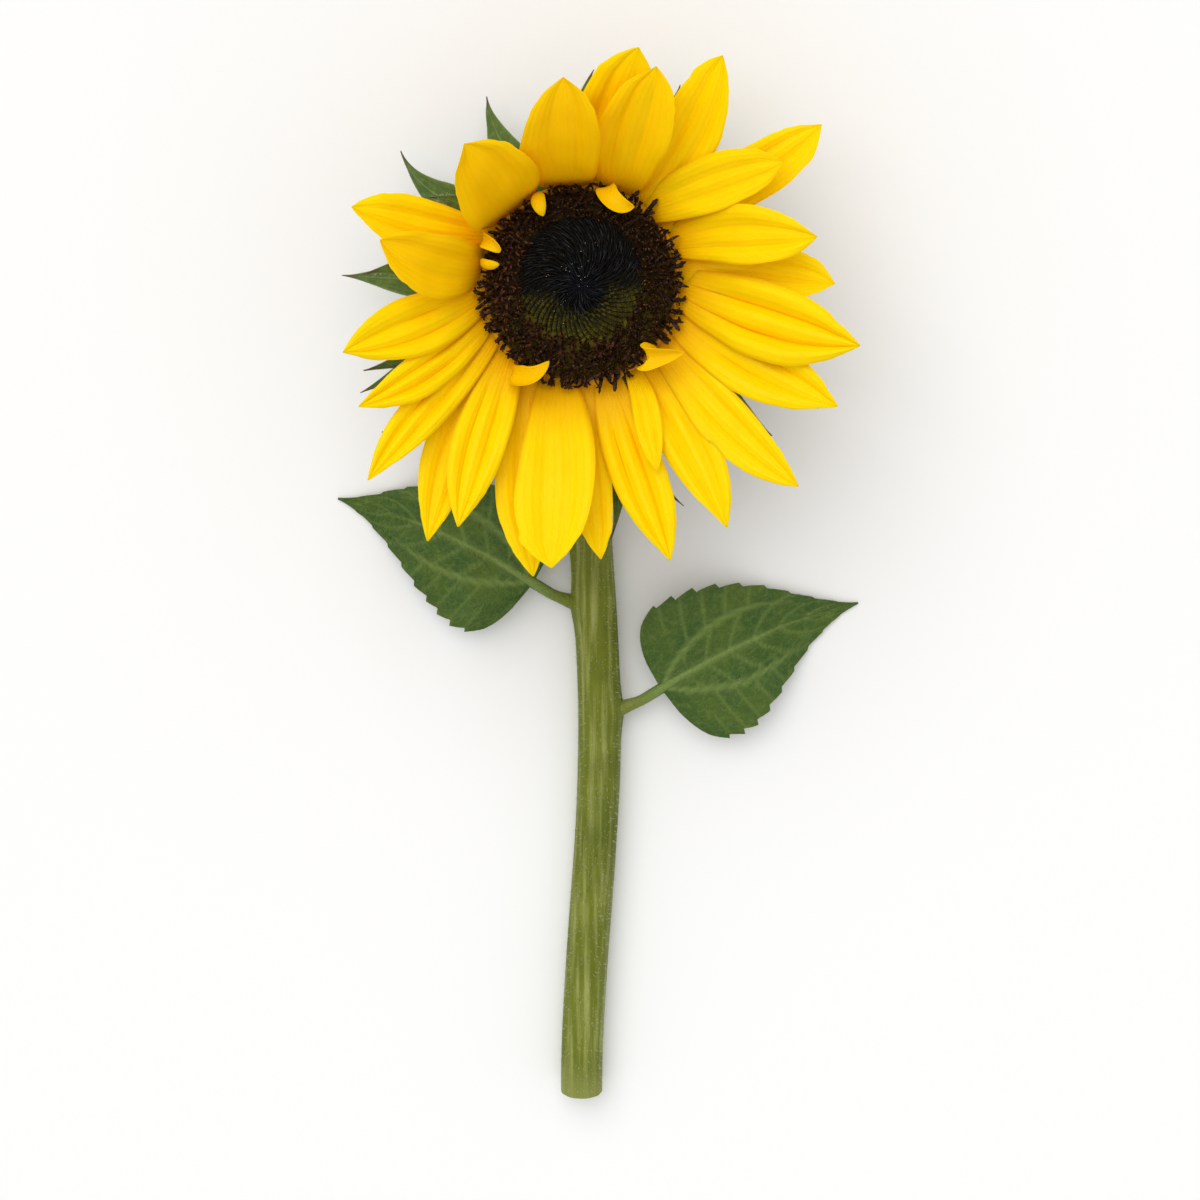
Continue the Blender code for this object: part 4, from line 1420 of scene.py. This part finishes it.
def bud_model():
    """A closed floret: a six-sided column with a stepped tip."""
    tall = sizes().bud_height
    bud = primitive(
        "bud", bpy.ops.mesh.primitive_cone_add,
        vertices=6, radius1=0.58 * MM, radius2=0.50 * MM, depth=1.0)
    select_in_edit(bud, "FACE", lambda face: face.calc_center_median().z > 0.4)
    for inset, rise in ((0.2 * MM, 0.35), (0.14 * MM, 0.15)):
        bpy.ops.mesh.inset(thickness=inset, depth=0)
        bpy.ops.transform.translate(value=(0, 0, rise))
    leave_edit()
    for vert in bud.data.vertices:
        vert.co.z = (vert.co.z + 0.5) / 1.5 * tall
    note(bud, "ripe", [vert.co.z / tall for vert in bud.data.vertices])
    return bud


def make_buds():
    """Closed florets and the dark scales between them, inside the ring of open florets."""
    size = sizes()
    draw = random.Random(SEEDS["closed"])
    matrix = head_matrix()
    bud = bud_model()
    scale = spike("scale", 1.0, 0.072, 0.0, 4, 4, 66, -4)
    buds, scales = [], []
    spots = floret_spots()
    for turn, (radius, angle) in enumerate(spots):
        if radius > open_ring_at(angle) + MM:
            continue
        # The painted lit side gets single, shorter scales, so that its olive shows
        outward, green = spoke(angle), lit_side_share(angle)
        ahead = Vector()
        if turn >= SPIRAL_ARMS:
            ahead_radius, ahead_angle = spots[turn - SPIRAL_ARMS]
            ahead = spoke(ahead_angle) * ahead_radius
        inwards = (ahead - outward * radius).normalized()
        spot = outward * radius + Vector((0, 0, dish_height(radius, size) - 0.3 * MM))
        lean = (UP - outward * 0.25).normalized()
        if radius > 0.55 * size.bristle_radius:
            grown = draw.uniform(0.9, 1.2)
            # Painted shade: buds away from the lit side are noted darker
            shade = 1 - green * draw.uniform(0.6, 1.0)
            buds.append((0, matrix @ standing(spot, lean, draw.uniform(*ANY_TURN), grown), shade))
        shorter = 0.6 * green * smooth_step(size.bristle_radius, size.open_ring_radius, radius)
        for twin in range(2 if radius < size.bristle_radius or green < 0.5 else 1):
            whirl = math.atan2(inwards.y, inwards.x) + draw.gauss(0, 0.05 + 0.06 * twin)
            long = 2.2 + 2.6 * smooth_step(2 * MM, 8 * MM, radius) - shorter
            long = long * draw.uniform(0.8, 1.15) * MM
            foot = spot + turned_left(inwards) * (0.80 - 0.7 * twin) * MM + Vector((0, 0, 0.7 * MM))
            place = Matrix.Translation(foot) @ Matrix.Rotation(whirl, 4, "Z")
            scales.append((0, matrix @ (place @ Matrix.Scale(long, 4)), draw.random()))
    buds = planted("closed_florets", [bud], buds)
    note_outwards(buds, matrix)
    smooth(buds, 70)
    carry(buds, "disc_florets", "disc_brown", bud_finish())
    scales = planted("dark_scales", [scale], scales)
    smooth(scales, 70)
    carry(scales, "disc_florets", "disc_brown", bristle_finish())


def open_floret(name, long, tip_lift, spread, thick):
    """An open floret: a five-sided tube with a throat, a dark column and two curled branches."""
    tall = sizes().open_floret_height
    tube_height = 0.52 * tall
    corolla = primitive(
        "corolla", bpy.ops.mesh.primitive_cone_add,
        vertices=5, radius1=0.36 * MM, radius2=0.56 * MM, depth=tube_height,
        location=(0, 0, tube_height / 2))
    bpy.ops.object.transform_apply(location=True)
    select_in_edit(
        corolla, "FACE", lambda face: face.calc_center_median().z > tube_height * 0.9)
    bpy.ops.mesh.inset(thickness=0.22 * MM, depth=0)
    bpy.ops.transform.translate(value=(0, 0, -0.5 * MM))
    leave_edit()
    note(corolla, "ripe", [0.34 * vert.co.z / tube_height for vert in corolla.data.vertices])
    column = spike("column", 0.8 * tall, 0.22 * MM, 0.2 * MM, 4, 0, 90, 90, 0.45, 0.55)
    parts = [corolla, column]
    root_radius, tip_radius = 0.44 * thick * MM, 0.22 * thick * MM
    for turn in (0.0, spread):
        arm = spike("branch", long * MM, root_radius, tip_radius, 4, 4, 72, tip_lift, 0.5, 1.0)
        foot = Matrix.Translation((0, 0, 0.74 * tall))
        arm.data.transform(foot @ Matrix.Rotation(turn, 4, "Z"))
        parts.append(arm)
    return joined(name, parts)


def rim_hook(name, long, root_radius, tip_radius, start_lift, end_lift, roll):
    """A withered branch that reaches out over the rim, with a rounded tip."""
    hook = spike(
        name, long * MM, root_radius * MM, tip_radius * MM, 5, 5, start_lift, end_lift, 0.45, 0.9)
    verts = hook.data.vertices
    tip = [vert for vert, ripe in zip(verts, read_note(hook, "ripe")) if ripe > 0.89]
    centre = sum((vert.co for vert in tip), Vector()) / len(tip)
    for vert in tip:
        vert.co = centre.lerp(vert.co, 0.4)
    hook.data.transform(Matrix.Rotation(math.radians(roll), 4, "X"))
    return hook


def round_the_rim(count, band, size, draw):
    """(radius, azimuth) of uneven spots round the rim, in a band of shares of the disc's radius."""
    spots = []
    for step in range(count):
        radius = size.disc_radius * draw.uniform(*band)
        spots.append((radius, 2 * math.pi * (step + draw.uniform(-0.8, 0.8)) / count))
    return spots


def petals_tree():
    """The petals' faces, to keep florets clear of."""
    mesh = bpy.data.objects["petals"].data
    faces = [tuple(polygon.vertices) for polygon in mesh.polygons]
    return BVHTree.FromPolygons([vert.co for vert in mesh.vertices], faces)


def clear_place(petals, corners, spot, lean, turn, grown, outward, matrix):
    """Stands a floret clear of the petals, bent inwards or smaller where it has to be."""
    near = petals.find_nearest(matrix @ spot)[3] < NEAR_PETALS
    for inward, smaller in FLORET_TRIES:
        tried = (lean - outward * inward).normalized()
        place = matrix @ standing(spot, tried, turn, grown * smaller, outward)
        if not near:
            return place
        if min(petals.find_nearest(place @ corner)[3] for corner in corners) > PETAL_CLEARANCE:
            return place
    return None


def ring_florets(size, draw):
    """Spot, lean, model, turn, size and azimuth of each open floret, the outermost leaning out."""
    spots = floret_spots()
    spots += round_the_rim(size.rim_florets, RIM_FLORET_BAND, size, draw)
    for radius, angle in spots:
        inner = open_ring_at(angle)
        if radius < inner:
            continue
        outward = spoke(angle)
        rim = smooth_step(0.84, 1.0, radius / size.disc_radius)
        leaning = radius > LEANING_FROM * size.disc_radius
        beyond = draw.uniform(0.3, 0.95) if leaning else 0.0
        ripe = smooth_step(inner, inner + 4 * MM, radius)
        lean = UP + outward * (0.10 + 0.35 * rim + beyond)
        lean += turned_left(outward) * draw.gauss(0, 0.25)
        lean += outward * draw.gauss(0, 0.18)
        height = dish_height(radius, size) - 0.25 * MM - beyond * 0.8 * MM
        spot = outward * radius + Vector((0, 0, height))
        chosen = JUST_OPEN if draw.random() > 0.35 + 0.65 * ripe else draw.choice(RING_CHOICE)
        turn = draw.uniform(*ANY_TURN)
        if rim > 0.5:
            chosen, turn = draw.choice(EDGE_CHOICE), draw.gauss(0, 0.6)
        if leaning:
            chosen = draw.choice(BEYOND_CHOICE)
        grown = draw.uniform(0.72, 1.15) * (0.80 + 0.20 * ripe) * (0.85 if leaning else 1)
        yield spot, lean, chosen, turn, grown, angle


def hooks_at_rim(size, draw):
    """Spot, lean, model, turn, size and azimuth of each long hook at the rim."""
    for radius, angle in round_the_rim(size.rim_hooks, RIM_HOOK_BAND, size, draw):
        outward = spoke(angle)
        spot = outward * radius + Vector((0, 0, dish_height(radius, size) + 0.4 * MM))
        lean = UP + outward * draw.uniform(-0.15, 0.2) + turned_left(outward) * draw.gauss(0, 0.15)
        chosen, turn = draw.choice(HOOK_CHOICE), draw.gauss(0, 0.35)
        yield spot, lean, chosen, turn, 0.7 + 0.75 * draw.random() ** 2, angle


def make_open_florets():
    """The ring of open florets and the long hooks, both clear of the petals at the disc's rim."""
    size = sizes()
    draw = random.Random(SEEDS["open"])
    matrix = head_matrix()
    petals = petals_tree()
    models = [open_floret(name, *row) for name, row in OPEN_FLORETS.items()]
    models += [rim_hook(name, *row) for name, row in RIM_HOOKS.items()]
    corners = [[vert.co.copy() for vert in model.data.vertices] for model in models]
    places = []
    for spot, lean, chosen, turn, grown, angle in ring_florets(size, draw):
        place = clear_place(petals, corners[chosen], spot, lean, turn, grown, spoke(angle), matrix)
        if place:
            # Painted light: the ring's florets are drawn lighter on the lit side and darker on the
            # shaded side
            lit = 0.3 + 0.7 * smooth_step(-0.7, 0.6, math.cos(angle - LIT_RING_SIDE))
            places.append((chosen, place, draw.random() * lit))
    for spot, lean, chosen, turn, grown, angle in hooks_at_rim(size, draw):
        place = clear_place(petals, corners[chosen], spot, lean, turn, grown, spoke(angle), matrix)
        if place:
            places.append((chosen, place, draw.uniform(0, 0.7)))
    florets = planted("open_florets", models, places)
    smooth(florets, 70)
    carry(florets, "disc_florets", "disc_brown", floret_finish())


def make_pollen():
    """A few pale pollen grains caught among the dark scales."""
    size = sizes()
    draw = random.Random(SEEDS["pollen"])
    matrix = head_matrix()
    speck = primitive(
        "speck", bpy.ops.mesh.primitive_ico_sphere_add, subdivisions=1, radius=0.10 * MM)
    note_all(speck, "ripe", 0.5)
    places = []
    for _ in range(size.speck_count):
        radius = 14 * MM * draw.random() ** 0.6
        azimuth = draw.gauss(115, 62)
        height = dish_height(radius, size) + draw.uniform(1.6, 2.2) * MM
        place = matrix @ Matrix.Translation(polar(radius, azimuth, height))
        places.append((0, place @ Matrix.Scale(draw.uniform(0.6, 1.3), 4), 0.5))
    pollen = planted("pollen_grains", [speck], places)
    smooth(pollen, 80)
    carry(pollen, "disc_florets", "disc_brown", pollen_finish())


# Leaves

def leaf_half_width(blade_part, width):
    """Half the width of a leaf: its stalk, then a broad egg-shaped blade with a drawn-out tip."""
    stalk = sizes().petiole_width / 2
    if blade_part <= 0:
        return stalk
    fullest = 0.93
    full = math.sin(math.pi * min(1.0, blade_part) ** 0.56) ** (0.8 + 0.5 * blade_part)
    full *= 1 - 0.25 * blade_part
    return stalk * (1 - blade_part) + 0.5 * width * full / fullest + 0.3 * MM * blade_part


def vein_strength(blade_part, across):
    """How close a point of a leaf's blade is to a vein: 1 on the midrib, less on the side veins.

    Two strong side veins leave the blade's foot with the midrib, and finer ones branch off.
    """
    apart = abs(across)
    midrib = 1 - smooth_step(0.015, 0.075, apart)
    if blade_part <= 0:
        return midrib
    arch = 0.80 * blade_part ** 0.62
    strong = 0.85 * (1 - smooth_step(0.0, 0.07, abs(apart - arch)))
    strong *= 1 - smooth_step(0.5, 0.8, blade_part)
    if blade_part < 0.16:
        return max(midrib, strong)
    if apart < arch or blade_part > 0.6:
        run = (blade_part - 0.26 * apart) * sizes().leaf_veins
    else:
        run = (blade_part - 0.10 * apart) * sizes().leaf_veins * 1.3
    fine = 0.6 * (1 - smooth_step(0.0, 0.15, abs(run - round(run)))) * (1 - 0.5 * apart)
    return max(midrib, strong, fine)


def leaf_surface(side, root_share, blade_length, width):
    """The middle surface of a leaf: toothed, quilted between its veins, with waved edges."""
    size = sizes()
    root = stem_centre(root_share, neck_bend_start(), size)
    root += Vector((side * (size.stem_radius + size.gap), 0, 0))
    whole = size.petiole_length + blade_length
    blade_from = size.petiole_length / whole
    stem_radius, thickness, teeth = size.stem_radius, size.leaf_thickness, size.leaf_teeth

    def place(along, across):
        blade_part = (along - blade_from) / (1 - blade_from)
        in_blade = smooth_step(0, 0.3, blade_part)
        half = leaf_half_width(blade_part, width)
        if blade_part > 0:
            notch = (blade_part * teeth) % 1.0
            half *= 1 - 0.075 * (1 - notch) * abs(across) ** 3 * smooth_step(0.05, 0.25, blade_part)
        out = whole * (0.62 * along + 0.16 * along ** 2)
        forward = whole * (0.50 * along - 0.14 * along ** 2)
        slant = (0.50 - 0.28 * along) * smooth_step(0, 0.1, along)
        slope = Vector((0.62 + 0.32 * along, slant)).normalized()
        rise = stem_radius * (1 - along) ** 1.5 + 9 * MM * math.sin(math.pi * along) * (1 - along)
        rise += in_blade * abs(across) * 6 * MM * (1 - along)
        broad = min(1.0, half / (7 * MM))
        wave = math.sin(12 * along + (1.6 if across > 0 else 0) + side)
        wave *= 1 - smooth_step(0.68, 0.9, along)
        rise += in_blade * broad * across ** 2 * 2.2 * MM * wave
        if blade_part > 0:
            rise -= 0.9 * MM * in_blade * broad * vein_strength(blade_part, across)
            rise += 1.0 * MM * noise.noise(Vector((along * 9, across * 2.5 * broad, side)))
        sunk = 4.4 * MM * (1 - smooth_step(0.0, 0.12, along))
        spot = root + Vector((side * (out - sunk), forward, 0))
        spot += Vector((-side * slope.y, slope.x, 0)) * half * across
        spot.z = thickness / 2 + 0.5 * (rise + math.hypot(rise, MM))
        return spot

    return place


def leaf_stalk(name, place):
    """The round stalk of a leaf, which runs on as its midrib and thins towards the tip."""
    size = sizes()
    stations = []
    for step in range(STALK_STEPS + 1):
        along = step / STALK_STEPS
        radius = 0.5 * size.petiole_width * (1 - smooth_step(0.05, 1.0, along) * 0.86)
        radius *= 1 + 0.75 * (1 - smooth_step(0.0, 0.10, along))
        spot = place(along, 0)
        spot.z = max(spot.z - 0.55 * radius * smooth_step(0.1, 0.3, along), radius)
        stations.append((spot, radius))
    stalk = tube(name, stations, STALK_SIDES)
    note_all(stalk, "vein", 0.8)
    shares = read_note(stalk, "along")
    note(stalk, "foot", [1 - smooth_step(0.02, 0.2, along) for along in shares])
    return stalk


def make_leaves():
    """Both leaves, each with its toothed blade, its stalk and its hairs."""
    size = sizes()
    skin = leaf_finish()
    for name, row in LEAVES.items():
        side, _, blade_length, _ = row
        place = leaf_surface(*row)
        blade_from = size.petiole_length / (size.petiole_length + blade_length)

        def vein(along, across):
            return 0.85 * vein_strength((along - blade_from) / (1 - blade_from), across)

        flat = blade(name + "_blade", *LEAF_GRID, size.leaf_thickness, place, 0.6)
        note_on_blade(flat, "vein", vein)
        leaf = joined(name + "_full", [flat, leaf_stalk(name + "_stalk", place)])
        if side < 0:
            pick(leaf)
            bpy.ops.object.mode_set(mode="EDIT")
            face_outwards()
        smooth(leaf, 55)
        carry(leaf, name, "leaf_green", skin)
        hairs = blade_hairs(place, random.Random(name), size.hair_length, size.leaf_hairs, 0.03)
        plant_hairs(name + "_hairs", hairs, name, "leaf_green")


# Stage

def make_stage():
    """Pale floor, even light, a large soft key light, and the camera over the face."""
    studio = bpy.context.scene.sunflower_studio
    scene = bpy.context.scene
    floor = primitive("floor", bpy.ops.mesh.primitive_plane_add, size=FLOOR_WIDTH)
    floor.data.materials.append(floor_finish())
    floor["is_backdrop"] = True
    head = head_matrix().translation
    low, high = CAD_BOX
    middle = (low + high) / 2
    middle.z = 0.35 * high.z
    spot = head + head_axis() * studio.camera_distance
    bpy.ops.object.camera_add(location=spot)
    camera = bpy.context.object
    camera.name = "camera"
    camera.rotation_mode = "QUATERNION"
    back = (spot - middle).normalized()
    right = Vector((0, 1, 0)).cross(back).normalized()
    turned_to = Matrix((right, back.cross(right), back)).transposed()
    camera.rotation_quaternion = turned_to.to_quaternion()
    apart = (middle - spot).length
    camera.data.lens = camera.data.sensor_width * apart / studio.view_height
    camera.data.clip_start = 0.01
    scene.camera = camera
    key_place = head + KEY_LIGHT_WAY
    bpy.ops.object.light_add(type="SUN", location=key_place)
    key = bpy.context.object
    key.name = "key_light"
    key.rotation_mode = "QUATERNION"
    key.rotation_quaternion = (head - key_place).to_track_quat("-Z", "Y")
    key.data.angle = studio.key_spread
    key.data.energy = studio.key_strength
    world = bpy.data.worlds.new("studio")
    world.use_nodes = True
    sky = world.node_tree.nodes["Background"]
    sky.inputs["Color"].default_value = (1, 1, 1, 1)
    sky.inputs["Strength"].default_value = studio.sky_strength
    scene.world = world
    scene.view_settings.view_transform = "Standard"


# Operators and panel

class SUNFLOWER_OT_stem(bpy.types.Operator):
    """Models the stem and its cut end"""
    bl_idname = "sunflower.stem"
    bl_label = "Stem"
    bl_options = {"REGISTER", "UNDO"}

    def execute(self, context):
        make_stem()
        return {"FINISHED"}


class SUNFLOWER_OT_stem_hairs(bpy.types.Operator):
    """Sets the hairs on the stem"""
    bl_idname = "sunflower.stem_hairs"
    bl_label = "Stem Hairs"
    bl_options = {"REGISTER", "UNDO"}

    def execute(self, context):
        make_stem_hairs()
        return {"FINISHED"}


class SUNFLOWER_OT_bract_cup(bpy.types.Operator):
    """Models the green cup, its bracts and their hairs"""
    bl_idname = "sunflower.bract_cup"
    bl_label = "Cup and Bracts"
    bl_options = {"REGISTER", "UNDO"}

    def execute(self, context):
        make_bract_cup()
        return {"FINISHED"}


class SUNFLOWER_OT_ray_petals(bpy.types.Operator):
    """Models the petals' ring, the ray petals and the curled rays"""
    bl_idname = "sunflower.ray_petals"
    bl_label = "Ray Petals"
    bl_options = {"REGISTER", "UNDO"}

    def execute(self, context):
        make_ray_petals()
        return {"FINISHED"}


class SUNFLOWER_OT_disc(bpy.types.Operator):
    """Models the skin of the disc"""
    bl_idname = "sunflower.disc"
    bl_label = "Disc"
    bl_options = {"REGISTER", "UNDO"}

    def execute(self, context):
        make_disc()
        return {"FINISHED"}


class SUNFLOWER_OT_closed_florets(bpy.types.Operator):
    """Sets the closed florets and the dark scales"""
    bl_idname = "sunflower.closed_florets"
    bl_label = "Closed Florets"
    bl_options = {"REGISTER", "UNDO"}

    def execute(self, context):
        make_buds()
        return {"FINISHED"}


class SUNFLOWER_OT_open_florets(bpy.types.Operator):
    """Sets the ring of open florets and the long hooks at the rim"""
    bl_idname = "sunflower.open_florets"
    bl_label = "Open Florets"
    bl_options = {"REGISTER", "UNDO"}

    def execute(self, context):
        make_open_florets()
        return {"FINISHED"}


class SUNFLOWER_OT_pollen(bpy.types.Operator):
    """Scatters the pale pollen grains"""
    bl_idname = "sunflower.pollen"
    bl_label = "Pollen"
    bl_options = {"REGISTER", "UNDO"}

    def execute(self, context):
        make_pollen()
        return {"FINISHED"}


class SUNFLOWER_OT_leaves(bpy.types.Operator):
    """Models both leaves"""
    bl_idname = "sunflower.leaves"
    bl_label = "Leaves"
    bl_options = {"REGISTER", "UNDO"}

    def execute(self, context):
        make_leaves()
        return {"FINISHED"}


class SUNFLOWER_OT_stage(bpy.types.Operator):
    """Sets the floor, the light and the camera"""
    bl_idname = "sunflower.stage"
    bl_label = "Stage"
    bl_options = {"REGISTER", "UNDO"}

    def execute(self, context):
        make_stage()
        return {"FINISHED"}


OPERATORS = [
    SUNFLOWER_OT_stem, SUNFLOWER_OT_stem_hairs, SUNFLOWER_OT_bract_cup, SUNFLOWER_OT_ray_petals,
    SUNFLOWER_OT_disc, SUNFLOWER_OT_closed_florets, SUNFLOWER_OT_open_florets, SUNFLOWER_OT_pollen,
    SUNFLOWER_OT_leaves, SUNFLOWER_OT_stage,
]


class SUNFLOWER_PT_panel(bpy.types.Panel):
    """Lists the flower's pieces and their settings."""
    bl_idname = "SUNFLOWER_PT_panel"
    bl_label = "Cut Sunflower"
    bl_space_type = "VIEW_3D"
    bl_region_type = "UI"
    bl_category = "Sunflower"

    def draw(self, context):
        for made in OPERATORS:
            self.layout.operator(made.bl_idname)
        for group in ("sunflower_sizes", "sunflower_colours", "sunflower_studio"):
            settings = getattr(context.scene, group)
            column = self.layout.column(heading=settings.bl_rna.name)
            for key in settings.__annotations__:
                column.prop(settings, key)


CLASSES = [SunflowerSizes, SunflowerColours, SunflowerStudio, *OPERATORS, SUNFLOWER_PT_panel]


def register():
    """Registers the classes and hangs the settings on the scene."""
    for made in CLASSES:
        bpy.utils.register_class(made)
    bpy.types.Scene.sunflower_sizes = PointerProperty(type=SunflowerSizes)
    bpy.types.Scene.sunflower_colours = PointerProperty(type=SunflowerColours)
    bpy.types.Scene.sunflower_studio = PointerProperty(type=SunflowerStudio)


def unregister():
    """Takes the settings and the classes away again."""
    del bpy.types.Scene.sunflower_studio
    del bpy.types.Scene.sunflower_colours
    del bpy.types.Scene.sunflower_sizes
    for made in reversed(CLASSES):
        bpy.utils.unregister_class(made)


CAD_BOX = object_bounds()


def main():
    """Makes every piece in order."""
    register()
    bpy.ops.sunflower.stem()
    bpy.ops.sunflower.stem_hairs()
    bpy.ops.sunflower.bract_cup()
    bpy.ops.sunflower.ray_petals()
    bpy.ops.sunflower.disc()
    bpy.ops.sunflower.closed_florets()
    bpy.ops.sunflower.open_florets()
    bpy.ops.sunflower.pollen()
    bpy.ops.sunflower.leaves()
    bpy.ops.sunflower.stage()
    boxes = {"cad": CAD_BOX, "visual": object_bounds()}
    {name: [list(corner) for corner in box] for name, box in boxes.items()}


if __name__ == "__main__":
    main()
